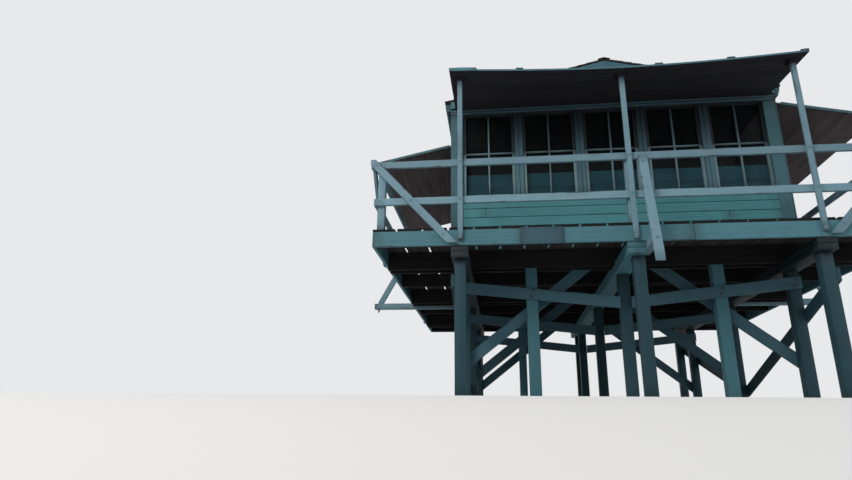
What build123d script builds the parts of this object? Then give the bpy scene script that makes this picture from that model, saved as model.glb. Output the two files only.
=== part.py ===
"""Fire lookout tower: a low timber lookout cab on short legs, with a plank catwalk and propped shutters.

Units are millimetres. X runs along the front wall, Y from the front to the back, Z up.
The origin is on the ground, under the middle of the deck.
"""
from build123d import *
import math
import os

# Cab, catwalk and the height they stand at
cab_size = 4267.0
side_walk = 844.0
end_walk = 893.0
leg_height = 1692.0

# Deck
fascia_height = 184.0
board_thickness = 38.0
plank_thickness = 32.0
plank_width = 275.0
plank_gap = 28.0
edge_plank_width = 264.0
floor_gap = 2.0

# Legs and what they carry
leg_size = 130.0
leg_spacing = 1961.0
rim_leg_inset = 152.0
middle_rim_leg_shift = 28.0
inner_post_width = 140.0
inner_post_offset = 1117.0
girder_width = 200.0
girder_height = 140.0
girder_end_inset = 12.0
wall_beam_drop = 50.0
joists_between_rows = 1
joist_thickness = 38.0

# Boards that brace the legs
brace_width = 140.0
brace_thickness = 38.0
tie_drop_outer = 290.0
tie_drop_inner = 505.0
diagonal_foot_drop = 1272.0
diagonal_slope = 0.79
side_brace_head_drop = 395.0
side_brace_foot_drop = 1400.0

# Outriggers
side_outrigger_reach = 610.0
end_outrigger_reach = 300.0
outrigger_size = 90.0
outrigger_brace_width = 89.0
end_brace_width = 100.0
end_brace_foot_drop = 274.0

# Railing
rail_post_size = 89.0
rail_height = 89.0
mid_rail_bottom = 514.0
top_rail_bottom = 991.0
top_rail_end_reach = 50.0
rail_brace_width = 84.0
rail_brace_foot_reach = 925.0
rail_brace_foot_z = 25.0
rail_brace_head_z = 1098.0
sign_width = 488.0
sign_height = 198.0
sign_thickness = 22.0
sign_left = 1701.0
sign_bottom = -12.0

# Cab walls
wall_thickness = 114.0
siding_thickness = 24.0
siding_exposure = 125.0
siding_bottom = 277.0
siding_lap_step = 9.0
corner_width = 168.0
sill_top = 945.0
sill_thickness = 45.0
sill_nose = 32.0
head_height = 2170.0
units_per_wall = 5
mullion_width = 110.0
mullion_setback = 10.0
mullion_depth = 85.0
sash_setback = 30.0
sash_depth = 36.0
sash_stile = 40.0
sash_top_rail = 24.0
sash_cross_rise = 640.0
muntin_width = 22.0
glass_thickness = 4.0
inner_board_top = 1298.0
inner_board_thickness = 19.0

# Door, in the bay of the left wall next to the front corner
door_mullion_width = 80.0
door_jamb = 32.0
door_clearance = 3.0
door_thickness = 44.0
door_setback = 30.0
door_rail = 110.0
door_light_bottom = 1150.0
door_panel_recess = 12.0
threshold_height = 24.0

# Roof
header_height = 203.0
head_casing_height = 40.0
head_casing_reach = 14.0
drip_board_height = 22.0
drip_board_reach = 10.0
drip_board_rise = 55.0
eave_reach = 76.0
roof_slope = 0.25
roof_thickness = 45.0
eave_board_height = 111.0
rake_reach = 25.0
rake_board_height = 110.0
gable_thickness = 92.0
ceiling_drop = 83.0
ceiling_thickness = 19.0
ridge_cap_width = 160.0
ridge_cap_thickness = 14.0

# Window shutters, their props and stays
shutter_thickness = 25.0
shutter_margin = 68.0
end_hinge_rise = 80.0
end_shutter_length = 1090.0
end_shutter_drop_deg = 4.2
side_hinge_drop = 10.0
side_shutter_length = 1240.0
side_shutter_drop_deg = 12.5
batten_width = 89.0
batten_thickness = 19.0
batten_count = 6
prop_width = 70.0
prop_thickness = 38.0
prop_bottom = 58.0
middle_prop_bottom = 18.0
prop_left = 1029.0
cleat_height = 46.0
cleat_width = 118.0
cleat_depth = 90.0
stay_size = 16.0
stay_hold = 700.0

# Lines worked out from the sizes above
deck_width = cab_size + 2 * side_walk
deck_depth = cab_size + 2 * end_walk
deck_x = deck_width / 2
deck_y = deck_depth / 2
cab_half = cab_size / 2
deck_bottom = leg_height
fascia_top = deck_bottom + fascia_height
deck_top = fascia_top + plank_thickness
girder_bottom = deck_bottom - girder_height
rim_leg_y = deck_y - rim_leg_inset
wall_leg_y = cab_half - wall_thickness / 2
cab_rows = (-wall_leg_y, 0, wall_leg_y)
inner_half = cab_half - wall_thickness
corner_inner = cab_half - corner_width
unit_pitch = (2 * corner_inner + mullion_width) / units_per_wall
unit_width = unit_pitch - mullion_width
lower_wall_top = sill_top - sill_thickness
plate_top = head_height + header_height
eave_underside = plate_top - roof_slope * eave_reach
ridge_underside = eave_underside + roof_slope * (cab_half + eave_reach)
ceiling_height = plate_top - ceiling_drop
door_start = -corner_inner
door_opening = unit_width + mullion_width - door_mullion_width
door_end = door_start + door_opening
shutter_half = cab_half - shutter_margin


def level(height):
    """A height given above the fascia's bottom edge, in the part's own frame."""
    return deck_bottom + height


def block(x_low, x_high, y_low, y_high, z_low, z_high):
    """A squared timber or board between two corners."""
    size = (x_high - x_low, y_high - y_low, z_high - z_low)
    middle = ((x_low + x_high) / 2, (y_low + y_high) / 2, (z_low + z_high) / 2)
    return Pos(*middle) * Box(*size)


def across_x(points, y_low, y_high):
    """A flat outline drawn in X and Z, given its thickness along Y."""
    outline = Polyline(*[(x, y_low, z) for x, z in points], close=True)
    return extrude(make_face(outline), amount=y_high - y_low, dir=(0, 1, 0))


def across_y(points, x_low, x_high):
    """A flat outline drawn in Y and Z, given its thickness along X."""
    outline = Polyline(*[(x_low, y, z) for y, z in points], close=True)
    return extrude(make_face(outline), amount=x_high - x_low, dir=(1, 0, 0))


def board_outline(start, end, width):
    """The four corners of a board whose middle line runs from start to end, cut upright at both ends."""
    run = end[0] - start[0]
    rise = end[1] - start[1]
    half = width / 2 * math.hypot(run, rise) / abs(run)
    return [
        (start[0], start[1] - half),
        (end[0], end[1] - half),
        (end[0], end[1] + half),
        (start[0], start[1] + half),
    ]


def left_and_right(solids):
    """The given solids with their mirror images across the middle of the front."""
    return solids + [mirror(solid, Plane.YZ) for solid in solids]


def front_and_back(solids):
    """The given solids with their mirror images across the middle of the sides."""
    return solids + [mirror(solid, Plane.XZ) for solid in solids]


def turned_to_side(solids, side):
    """Solids drawn on the front wall, turned about the cab's middle onto another wall.

    The side is 0 for the front, 1 for the right, 2 for the back and 3 for the left.
    """
    return [Rot(0, 0, 90 * side) * solid for solid in solids]


# Legs, girders and floor frame

def leg(x, y, width=leg_size, top=girder_bottom):
    """One upright timber from the ground to what it carries."""
    return block(x - width / 2, x + width / 2, y - leg_size / 2, y + leg_size / 2, 0, top)


def end_legs(sign):
    """The legs at one end: the rim row, the row under the wall, and two posts between those."""
    columns = (-leg_spacing, 0, leg_spacing)
    rim_row = [leg(x, sign * rim_leg_y) for x in (-leg_spacing, middle_rim_leg_shift, leg_spacing)]
    wall_row = [leg(x, sign * wall_leg_y) for x in columns]
    inner = [
        leg(x, sign * wall_leg_y, inner_post_width, fascia_top) for x in (-inner_post_offset, inner_post_offset)]
    return rim_row + wall_row + inner


def middle_legs():
    """The three legs under the middle of the cab."""
    return [leg(x, 0) for x in (-leg_spacing, 0, leg_spacing)]


def girders():
    """Three beams from front to back on the legs."""
    half = girder_width / 2
    reach = deck_y - girder_end_inset
    return [block(x - half, x + half, -reach, reach, girder_bottom, deck_bottom)
            for x in (-leg_spacing, 0, leg_spacing)]


def double_beam(row_y):
    """Two planks that clasp the posts of a row, notched over the girders."""
    inside_x = deck_x - board_thickness
    bottom = deck_bottom - wall_beam_drop
    solids = []
    for face in (-1, 1):
        start = row_y + face * leg_size / 2
        near, far = sorted((start, start + face * joist_thickness))
        beam = block(-inside_x, inside_x, near, far, bottom, fascia_top)
        for x in (-leg_spacing, 0, leg_spacing):
            beam -= block(x - girder_width / 2, x + girder_width / 2, near, far, bottom, deck_bottom)
        solids.append(beam)
    return solids


def joist(y_low):
    """One joist across the girders."""
    inside_x = deck_x - board_thickness
    return block(-inside_x, inside_x, y_low, y_low + joist_thickness, deck_bottom, fascia_top)


def floor_joists():
    """A double beam on each cab row, joists between the rows, and one behind each end fascia."""
    solids = [beam for row_y in cab_rows for beam in double_beam(row_y)]
    pitch = wall_leg_y / (joists_between_rows + 1)
    for number in range(1, joists_between_rows + 1):
        solids += front_and_back([joist(-number * pitch - joist_thickness / 2)])
    return solids + front_and_back([joist(-deck_y + board_thickness)])


def diagonal_outline():
    """A board that rises from the side leg's outer face to the double beam's underside."""
    half = brace_width / 2 * math.hypot(1, diagonal_slope)
    foot_x = -leg_spacing - leg_size / 2
    foot_z = deck_bottom - diagonal_foot_drop
    head_z = deck_bottom - wall_beam_drop
    low_head_x = foot_x + (head_z - foot_z + half) / diagonal_slope
    high_head_x = foot_x + (head_z - foot_z - half) / diagonal_slope
    return [(foot_x, foot_z - half), (low_head_x, head_z), (high_head_x, head_z), (foot_x, foot_z + half)]


def row_braces():
    """On each cab row, a sloping tie on the legs' front face and a diagonal on their back face."""
    solids = []
    face = leg_size / 2
    tie = board_outline(
        (-leg_spacing - face, deck_bottom - tie_drop_outer), (-face, deck_bottom - tie_drop_inner), brace_width)
    for row_y in cab_rows:
        solids.append(across_x(tie, row_y - face - brace_thickness, row_y - face))
        solids.append(across_x(diagonal_outline(), row_y + face, row_y + face + brace_thickness))
    return left_and_right(solids)


def side_braces():
    """A long diagonal on the outer face of the legs, from each rim leg to the middle leg."""
    outline = board_outline(
        (-rim_leg_y - leg_size / 2, deck_bottom - side_brace_head_drop),
        (-brace_thickness / 2, deck_bottom - side_brace_foot_drop), brace_width)
    outer = -leg_spacing - leg_size / 2
    return left_and_right(front_and_back([across_y(outline, outer - brace_thickness, outer)]))


# Deck

def end_fascias():
    """The rim boards along the front and the back."""
    return front_and_back([block(
        -deck_x, deck_x, -deck_y, -deck_y + board_thickness, deck_bottom, fascia_top)])


def side_fascias():
    """The rim boards along both sides, between the end boards."""
    inside_y = deck_y - board_thickness
    return left_and_right([block(
        -deck_x, -deck_x + board_thickness, -inside_y, inside_y, deck_bottom, fascia_top)])


def side_deck():
    """The planks of the left catwalk, which run its whole length with their ends over the fascias."""
    low = -deck_x
    solids = []
    for width in (edge_plank_width, plank_width, plank_width):
        solids.append(block(low, low + width, -deck_y, deck_y, fascia_top, deck_top))
        low += width + plank_gap
    return solids


def side_deck_end():
    """Where the third plank of a side catwalk ends, with its gap."""
    return -deck_x + edge_plank_width + 2 * plank_width + 3 * plank_gap


def cross_planks(y_low, y_high, gap=plank_gap):
    """Planks that run front to back between the two side catwalks."""
    start = side_deck_end() - (plank_gap - gap) / 2
    count = round((-2 * start + gap) / (plank_width + plank_gap))
    pitch = (-2 * start + gap) / count
    return [
        block(start + number * pitch, start + (number + 1) * pitch - gap, y_low, y_high, fascia_top, deck_top)
        for number in range(count)
    ]


def end_brace_inner(z):
    """How far in front of the middle the inner face of the front outrigger's brace is, at a height."""
    foot_z, head_z = deck_bottom - end_brace_foot_drop, level(top_rail_bottom)
    slope = end_outrigger_reach / (head_z - foot_z)
    return -deck_y - (head_z - z) * slope + board_thickness / 2 * math.hypot(1, slope)


def outrigger_arms():
    """The arms that stand out at each side, behind the middle double beam, and beside the middle girder."""
    inner = -leg_spacing - girder_width / 2
    near = leg_size / 2 + joist_thickness
    bottom = deck_bottom - outrigger_size
    side = block(-deck_x - side_outrigger_reach, inner, near, near + outrigger_size, bottom, deck_bottom)
    root = -rim_leg_y + leg_size
    outline = [(root, bottom), (root, deck_bottom),
               (end_brace_inner(deck_bottom), deck_bottom), (end_brace_inner(bottom), bottom)]
    end = across_y(outline, girder_width / 2, girder_width / 2 + outrigger_size)
    return left_and_right([side]) + front_and_back([end])


def outrigger_braces():
    """Braces from the outriggers' ends up to the top rail's outer face."""
    head_z = level(top_rail_bottom)
    side = board_outline(
        (-deck_x - side_outrigger_reach + outrigger_brace_width / 2, deck_bottom - outrigger_size / 2),
        (-deck_x, head_z), outrigger_brace_width)
    side_near = leg_size / 2 + joist_thickness + outrigger_size
    side_solid = across_x(side, side_near, side_near + board_thickness)
    end = board_outline(
        (-deck_y - end_outrigger_reach, deck_bottom - end_brace_foot_drop), (-deck_y, head_z), board_thickness)
    girder_face = girder_width / 2
    end_solid = across_y(end, girder_face, girder_face + end_brace_width)
    return left_and_right([side_solid]) + [end_solid, mirror(end_solid, Plane.XZ)]


# Railing

def rail_posts():
    """A post at each corner and at the middle of each side, inside the fascia and the rails."""
    x_outer = deck_x - board_thickness
    y_outer = deck_y - board_thickness
    half = rail_post_size / 2
    top = level(top_rail_bottom + rail_height)
    corner = block(
        -x_outer, -x_outer + rail_post_size, -y_outer, -y_outer + rail_post_size, deck_top, top)
    end_middle = block(-half, half, -y_outer, -y_outer + rail_post_size, deck_top, top)
    side_middle = block(-x_outer, -x_outer + rail_post_size, -half, half, deck_top, top)
    return left_and_right(front_and_back([corner])) + front_and_back([end_middle]) + left_and_right([side_middle])


def rails(along_ends):
    """The mid rail and the top rail on the posts' outer faces, along the ends or along the sides."""
    inside_y = deck_y - board_thickness
    solids = []
    for bottom, end_reach in ((mid_rail_bottom, 0), (top_rail_bottom, top_rail_end_reach)):
        low, high = level(bottom), level(bottom + rail_height)
        if along_ends:
            rail = block(-deck_x - end_reach, deck_x + end_reach, -deck_y, -inside_y, low, high)
            solids += front_and_back([rail])
        else:
            rail = block(-deck_x, -deck_x + board_thickness, -inside_y, inside_y, low, high)
            solids += left_and_right([rail])
    return solids


def rail_brace_outline(corner, edge, cut):
    """A railing brace, from its corner down to the fascia, with its head cut upright."""
    head, foot = level(rail_brace_head_z), level(rail_brace_foot_z)
    foot_middle = edge + rail_brace_foot_reach
    slope = (foot_middle - corner) / (head - foot)
    half = rail_brace_width / 2 * math.hypot(1, slope)
    return [(cut, head), (cut, foot + (foot_middle - half - cut) / slope), (foot_middle - half, foot),
            (foot_middle + half, foot), (corner + half, head)]


def rail_braces():
    """The diagonal boards on the railings' outer faces, two from each corner's top down to the fascias."""
    rail_end = -deck_x - top_rail_end_reach
    end_outline = rail_brace_outline(rail_end, -deck_x, rail_end)
    end_brace = across_x(end_outline, -deck_y - board_thickness, -deck_y)
    side_outline = rail_brace_outline(-deck_y, -deck_y, -deck_y + board_thickness)
    side_brace = across_y(side_outline, -deck_x - board_thickness, -deck_x)
    return left_and_right(front_and_back([end_brace, side_brace]))


def sign_board():
    """The bare board on the front fascia."""
    left = -deck_x + sign_left
    return [block(left, left + sign_width, -deck_y - sign_thickness, -deck_y,
                  level(sign_bottom), level(sign_bottom + sign_height))]


# Cab

def corner_posts():
    """The four boxed corners of the cab, from the siding's bottom line to the window heads."""
    corner = block(-cab_half, -corner_inner, -cab_half, -corner_inner, deck_top, level(head_height))
    return left_and_right(front_and_back([corner]))


def lower_wall(side):
    """The solid wall between two corners, from the deck to under the sill, behind the siding."""
    low, high = -corner_inner, corner_inner
    if side == 3:
        high = -door_end
    wall = block(low, high, -cab_half + siding_thickness, -inner_half, deck_top, level(lower_wall_top))
    return turned_to_side([wall], side)


def lap_siding(side):
    """Lapped boards on a lower wall, with each board's foot standing out over the one below."""
    low, high = -corner_inner, corner_inner
    if side == 3:
        high = -door_end
    back = -cab_half + siding_thickness
    thin = siding_thickness - siding_lap_step
    points = [(back, level(siding_bottom))]
    foot = siding_bottom
    while foot < lower_wall_top:
        head = min(foot + siding_exposure, lower_wall_top)
        points.append((back - siding_thickness, level(foot)))
        points.append((back - thin, level(head)))
        foot += siding_exposure
    points.append((back, level(lower_wall_top)))
    return turned_to_side([across_y(points, low, high)], side)


def window_sill(side):
    """The sloping sill board under a wall's windows, which stands out past the siding."""
    low, high = -corner_inner, corner_inner
    if side == 3:
        high = -door_end
    nose = -cab_half - sill_nose
    bottom, top = level(lower_wall_top), level(sill_top)
    fall = sill_thickness / 4
    points = [(nose, bottom), (-inner_half, bottom), (-inner_half, top), (-cab_half + mullion_setback, top),
              (nose, top - fall)]
    return turned_to_side([across_y(points, low, high)], side)


def first_unit(side):
    """The number of the first window unit on a wall: the left wall's door takes one place."""
    return 1 if side == 3 else 0


def mullions(side):
    """The posts between a wall's window units."""
    front = -cab_half + mullion_setback
    solids = []
    for number in range(1, units_per_wall):
        right = corner_inner - number * unit_pitch + mullion_width
        left = right - mullion_width
        if side == 3 and number == 1:
            right = -door_end
        bottom = level(sill_top)
        solids.append(block(left, right, front, front + mullion_depth, bottom, level(head_height)))
    return turned_to_side(solids, side)


def unit_left(number):
    """The left edge of a window unit, counted from the wall's right end as seen from outside."""
    return corner_inner - number * unit_pitch - unit_width


def sashes(side):
    """The glazed frames of a wall, each with a cross of muntins."""
    front = -cab_half + sash_setback
    solids = []
    for number in range(first_unit(side), units_per_wall):
        left = unit_left(number)
        low, high = level(sill_top), level(head_height)
        sash = block(left, left + unit_width, front, front + sash_depth, low, high)
        pane_width = (unit_width - 2 * sash_stile - muntin_width) / 2
        cross = low + sash_cross_rise
        rows = ((low + sash_stile, cross - muntin_width / 2), (cross + muntin_width / 2, high - sash_top_rail))
        for column in range(2):
            x = left + sash_stile + column * (pane_width + muntin_width)
            for pane_bottom, pane_top in rows:
                sash -= block(x, x + pane_width, front, front + sash_depth, pane_bottom, pane_top)
        solids.append(sash)
    return turned_to_side(solids, side)


def window_glass(side):
    """One sheet of glass behind each sash."""
    front = -cab_half + sash_setback + sash_depth
    rebate = sash_stile / 2
    solids = []
    for number in range(first_unit(side), units_per_wall):
        left = unit_left(number)
        solids.append(block(
            left + rebate, left + unit_width - rebate, front, front + glass_thickness,
            level(sill_top) + rebate, level(head_height) - sash_top_rail / 2))
    return turned_to_side(solids, side)


def front_inner_board():
    """The low board that stands on the inner sill behind the front windows."""
    back = -inner_half
    return [block(-corner_inner, corner_inner, back - inner_board_thickness, back,
                  level(sill_top), level(inner_board_top))]


# Door

def door_frame():
    """Jambs, head and threshold of the door in the left wall, as one frame."""
    low, high = -door_end, -door_start
    front, back = -cab_half + mullion_setback, -inner_half
    frame = block(low, high, front, back, deck_top, level(head_height))
    frame -= block(low + door_jamb, high - door_jamb, front, back,
                   deck_top + threshold_height, level(head_height) - door_jamb)
    return turned_to_side([frame], 3)


def door_leaf():
    """The closed door: a sunk lower panel and four lights above it."""
    low = -door_end + door_jamb + door_clearance
    high = -door_start - door_jamb - door_clearance
    front = -cab_half + mullion_setback + door_setback
    back = front + door_thickness
    bottom = deck_top + threshold_height
    top = level(head_height) - door_jamb - door_clearance
    leaf = block(low, high, front, back, bottom, top)
    light_bottom = level(door_light_bottom)
    panel_top = light_bottom - door_rail
    leaf -= block(low + door_rail, high - door_rail, front, front + door_panel_recess,
                  bottom + door_rail, panel_top)
    light_width = (high - low - 2 * door_rail - muntin_width) / 2
    light_height = (top - door_rail - light_bottom - muntin_width) / 2
    for column in range(2):
        for row in range(2):
            x = low + door_rail + column * (light_width + muntin_width)
            z = light_bottom + row * (light_height + muntin_width)
            leaf -= block(x, x + light_width, front, back, z, z + light_height)
    return turned_to_side([leaf], 3)


def door_glass():
    """The sheet of glass on the inner face of the door's lights."""
    rebate = door_rail / 2
    low = -door_end + door_jamb + door_clearance + rebate
    high = -door_start - door_jamb - door_clearance - rebate
    front = -cab_half + mullion_setback + door_setback + door_thickness
    top = level(head_height) - door_jamb - door_clearance - rebate
    return turned_to_side([block(low, high, front, front + glass_thickness,
                                 level(door_light_bottom) - rebate, top)], 3)


# Roof

def underside_at(x):
    """The height of the roof's underside at a distance from the middle."""
    return level(eave_underside + roof_slope * (cab_half + eave_reach - abs(x)))


def end_headers():
    """The beams over the front and back windows, with a casing and a drip board on their outer faces."""
    low, top = level(head_height), level(plate_top)
    casing_top = low + head_casing_height
    drip_bottom = low + drip_board_rise
    drip_top = drip_bottom + drip_board_height
    points = [
        (-inner_half, low), (-inner_half, top), (-cab_half, top),
        (-cab_half, drip_top), (-cab_half - drip_board_reach, drip_top),
        (-cab_half - drip_board_reach, drip_bottom), (-cab_half, drip_bottom),
        (-cab_half, casing_top), (-cab_half - head_casing_reach, casing_top),
        (-cab_half - head_casing_reach, low)]
    return front_and_back([across_y(points, -cab_half, cab_half)])


def side_headers():
    """The beams over the side windows, with their tops cut to the roof's slope."""
    points = [
        (-cab_half, level(head_height)), (-inner_half, level(head_height)),
        (-inner_half, underside_at(inner_half)), (-cab_half, underside_at(cab_half))]
    return left_and_right([across_x(points, -inner_half, inner_half)])


def gables():
    """The boarded triangles on the end headers, up to the roof's underside."""
    points = [(-cab_half, level(plate_top)), (cab_half, level(plate_top)), (0, level(ridge_underside))]
    return front_and_back([across_x(points, -cab_half, -cab_half + gable_thickness)])


def roof_slope_slab(sign):
    """One slope of the roof, from the eave to the ridge."""
    edge = cab_half + eave_reach
    points = [
        (sign * edge, level(eave_underside)), (0, level(ridge_underside)),
        (0, level(ridge_underside + roof_thickness)), (sign * edge, level(eave_underside + roof_thickness))]
    return [across_x(points, -cab_half - rake_reach, cab_half + rake_reach)]


def ridge_cap():
    """The folded cap over the ridge."""
    half = ridge_cap_width / 2
    top = level(ridge_underside + roof_thickness)
    fall = roof_slope * half
    points = [(-half, top - fall), (0, top), (half, top - fall),
              (half, top - fall + ridge_cap_thickness), (0, top + ridge_cap_thickness),
              (-half, top - fall + ridge_cap_thickness)]
    return [across_x(points, -cab_half - rake_reach, cab_half + rake_reach)]


def roof_trim():
    """Eave boards under the roof's outer edges, and a pair of rake boards on each gable."""
    edge = cab_half + eave_reach
    top = level(eave_underside)
    eave = across_x(
        [(-edge, top - eave_board_height), (-cab_half, top - eave_board_height),
         (-cab_half, underside_at(cab_half)), (-edge, top)], -cab_half, cab_half)
    rake_points = [
        (-cab_half, underside_at(cab_half) - rake_board_height), (0, level(ridge_underside) - rake_board_height),
        (cab_half, underside_at(cab_half) - rake_board_height), (cab_half, underside_at(cab_half)),
        (0, level(ridge_underside)), (-cab_half, underside_at(cab_half))]
    rake = across_x(rake_points, -cab_half - rake_reach, -cab_half)
    return left_and_right([eave]) + front_and_back([rake])


def ceiling():
    """The boards under the roof, between the headers."""
    return [block(-inner_half, inner_half, -inner_half, inner_half,
                  level(ceiling_height), level(ceiling_height + ceiling_thickness))]


# Shutters

def batten_places(start, end):
    """Where the battens stand along a shutter, from its first edge to its last."""
    pitch = (end - start - batten_width) / (batten_count - 1)
    return [start + number * pitch for number in range(batten_count)]


def shutter_point(hinge_z, drop_deg, along, above):
    """A point of a shutter's section: along it from the hinge outward, and above its underside."""
    angle = math.radians(drop_deg)
    out = -cab_half - along * math.cos(angle) - above * math.sin(angle)
    return out, hinge_z - along * math.sin(angle) + above * math.cos(angle)


def shutter_outline(hinge_z, drop_deg, length, near, low, high):
    """The section of a panel or batten that lies between two heights above a shutter's underside."""
    return [shutter_point(hinge_z, drop_deg, along, above)
            for along, above in ((near, low), (length, low), (length, high), (near, high))]


def panel_outline(hinge_z, drop_deg, length):
    """A shutter panel's section, cut upright where it meets the wall."""
    inner_low = (-cab_half, hinge_z)
    inner_high = (-cab_half, hinge_z + shutter_thickness / math.cos(math.radians(drop_deg)))
    outer = shutter_outline(hinge_z, drop_deg, length, 0, 0, shutter_thickness)[1:3]
    return [inner_low] + outer + [inner_high]


def batten_outline(hinge_z, drop_deg, length):
    """The section of a batten on top of a shutter, clear of the drip board."""
    top = shutter_thickness + batten_thickness
    return shutter_outline(hinge_z, drop_deg, length, batten_width, shutter_thickness, top)


def end_shutter(sign):
    """The nearly level shutter over the front or back windows, with battens above and cleats below."""
    hinge_z = level(head_height + end_hinge_rise)
    size = (hinge_z, end_shutter_drop_deg, end_shutter_length)
    shutter = across_y(panel_outline(*size), -shutter_half, shutter_half)
    for x in batten_places(-shutter_half, shutter_half):
        shutter += across_y(batten_outline(*size), x, x + batten_width)
    for x in prop_places():
        shutter += across_y(cleat_outline(), x - cleat_width / 2, x + cleat_width / 2)
    return [shutter] if sign < 0 else [mirror(shutter, Plane.XZ)]


def end_underside(y):
    """The height of the front shutter's underside at a distance from the middle."""
    fall = math.tan(math.radians(end_shutter_drop_deg))
    return level(head_height + end_hinge_rise) - (abs(y) - cab_half) * fall


def cleat_outline():
    """The block under a shutter that a prop's head bears on."""
    near = -deck_y + (cleat_depth - prop_thickness) / 2
    far = near - cleat_depth
    bottom = prop_top()
    return [(near, bottom), (near, end_underside(near)), (far, end_underside(far)), (far, bottom)]


def prop_top():
    """The height of the props' heads, under the cleats."""
    return end_underside(deck_y) - cleat_height


def prop_places():
    """Where the props stand along an end."""
    return (-deck_x + prop_left, 0, deck_x - prop_left)


def side_shutter_span(sign):
    """Where a side shutter starts and ends: the left one starts past the door."""
    start = -corner_inner + door_opening if sign < 0 else -shutter_half
    return start, shutter_half


def side_shutter(sign):
    """A shutter that slopes down over the windows of the left or right side, with battens above."""
    size = (level(head_height - side_hinge_drop), side_shutter_drop_deg, side_shutter_length)
    start, end = side_shutter_span(sign)
    shutter = across_x(panel_outline(*size), start, end)
    for y in batten_places(start, end):
        shutter += across_x(batten_outline(*size), y, y + batten_width)
    return [shutter] if sign < 0 else [mirror(shutter, Plane.YZ)]


def shutter_props():
    """The uprights from the end fascias, past the rails, to the undersides of the end shutters."""
    half = prop_width / 2
    left, middle, right = prop_places()
    return front_and_back([
        block(x - half, x + half, -deck_y - prop_thickness, -deck_y, level(bottom), prop_top())
        for x, bottom in ((left, prop_bottom), (middle, middle_prop_bottom), (right, prop_bottom))])


def shutter_stays(sign):
    """Square bars from an eave board down to every other batten of a side shutter."""
    hold_x, hold_z = shutter_point(level(head_height - side_hinge_drop), side_shutter_drop_deg,
                                   stay_hold, shutter_thickness + batten_thickness)
    eave_x = -cab_half - eave_reach
    eave_z = level(eave_underside - eave_board_height / 2)
    outline = [(eave_x, eave_z), (hold_x, hold_z), (hold_x, hold_z + stay_size), (eave_x, eave_z + stay_size)]
    solids = []
    for batten_y in batten_places(*side_shutter_span(sign))[1::2]:
        middle = batten_y + batten_width / 2
        solids.append(across_x(outline, middle - stay_size / 2, middle + stay_size / 2))
    return solids if sign < 0 else [mirror(solid, Plane.YZ) for solid in solids]


def write(name, solids):
    """Save one node's solids as parts/NAME.step."""
    export_step(Compound(children=[solid for shape in solids for solid in shape.solids()]), f"parts/{name}.step")


def main():
    os.makedirs("parts", exist_ok=True)
    all_sides = range(4)

    write("front_legs", end_legs(-1))
    write("middle_legs", middle_legs())
    write("back_legs", end_legs(1))
    write("girders", girders())
    write("floor_joists", floor_joists())
    write("row_braces", row_braces())
    write("side_braces", side_braces())

    write("end_fascias", end_fascias())
    write("side_fascias", side_fascias())
    write("left_deck", side_deck())
    write("right_deck", [mirror(plank, Plane.YZ) for plank in side_deck()])
    write("front_deck", cross_planks(-deck_y, -cab_half))
    write("back_deck", cross_planks(cab_half, deck_y))
    write("cab_floor", cross_planks(-cab_half, cab_half, floor_gap))
    write("outrigger_arms", outrigger_arms())
    write("outrigger_braces", outrigger_braces())

    write("rail_posts", rail_posts())
    write("end_rails", rails(True))
    write("side_rails", rails(False))
    write("rail_braces", rail_braces())
    write("sign_board", sign_board())

    write("corner_posts", corner_posts())
    for side, name in enumerate(("front", "right", "back", "left")):
        write(f"{name}_wall", lower_wall(side))
        write(f"{name}_sashes", sashes(side))
    write("lap_siding", [solid for side in all_sides for solid in lap_siding(side)])
    write("window_sills", [solid for side in all_sides for solid in window_sill(side)])
    write("mullions", [solid for side in all_sides for solid in mullions(side)])
    write("window_glass", [solid for side in all_sides for solid in window_glass(side)])
    write("front_inner_board", front_inner_board())
    write("door_frame", door_frame())
    write("door_leaf", door_leaf())
    write("door_glass", door_glass())

    write("end_headers", end_headers())
    write("side_headers", side_headers())
    write("gables", gables())
    write("left_roof", roof_slope_slab(-1))
    write("right_roof", roof_slope_slab(1))
    write("ridge_cap", ridge_cap())
    write("roof_trim", roof_trim())
    write("ceiling", ceiling())

    write("front_shutter", end_shutter(-1))
    write("back_shutter", end_shutter(1))
    write("left_shutter", side_shutter(-1))
    write("right_shutter", side_shutter(1))
    write("shutter_props", shutter_props())
    write("shutter_stays", shutter_stays(-1) + shutter_stays(1))


main()
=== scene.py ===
# %% [markdown]
# # A fire lookout tower, dressed in Blender
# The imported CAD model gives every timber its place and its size. This lesson dresses it: each CAD
# node is either given a material or replaced by boards that are cut, bevelled, nailed and weathered.
# Everything is in metres, X along the front wall, Y from front to back, Z up.

# %% Load the frame
import math
import random

import bmesh
import bpy
from mathutils import Matrix, Vector, noise


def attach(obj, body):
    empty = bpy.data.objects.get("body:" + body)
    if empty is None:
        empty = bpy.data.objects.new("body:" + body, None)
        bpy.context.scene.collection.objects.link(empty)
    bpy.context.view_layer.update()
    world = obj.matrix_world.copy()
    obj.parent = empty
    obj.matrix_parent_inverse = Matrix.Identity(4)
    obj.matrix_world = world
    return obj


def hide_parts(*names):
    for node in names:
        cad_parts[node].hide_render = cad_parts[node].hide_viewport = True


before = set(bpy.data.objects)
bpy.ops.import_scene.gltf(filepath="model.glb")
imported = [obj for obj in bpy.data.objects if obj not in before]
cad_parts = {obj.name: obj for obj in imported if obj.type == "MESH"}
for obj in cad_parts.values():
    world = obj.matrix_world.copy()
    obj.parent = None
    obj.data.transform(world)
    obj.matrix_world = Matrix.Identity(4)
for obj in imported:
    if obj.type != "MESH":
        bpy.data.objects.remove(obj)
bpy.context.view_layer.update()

# %% [markdown]
# ## The camera
# The picture was taken from below the tower, in front of its left half, looking up. The place and the
# lens come from fitting straight edges of the building, such as the deck's rim and the rails, whose
# real sizes are known. The forward direction and a small roll fix the three axes of the camera.

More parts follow.
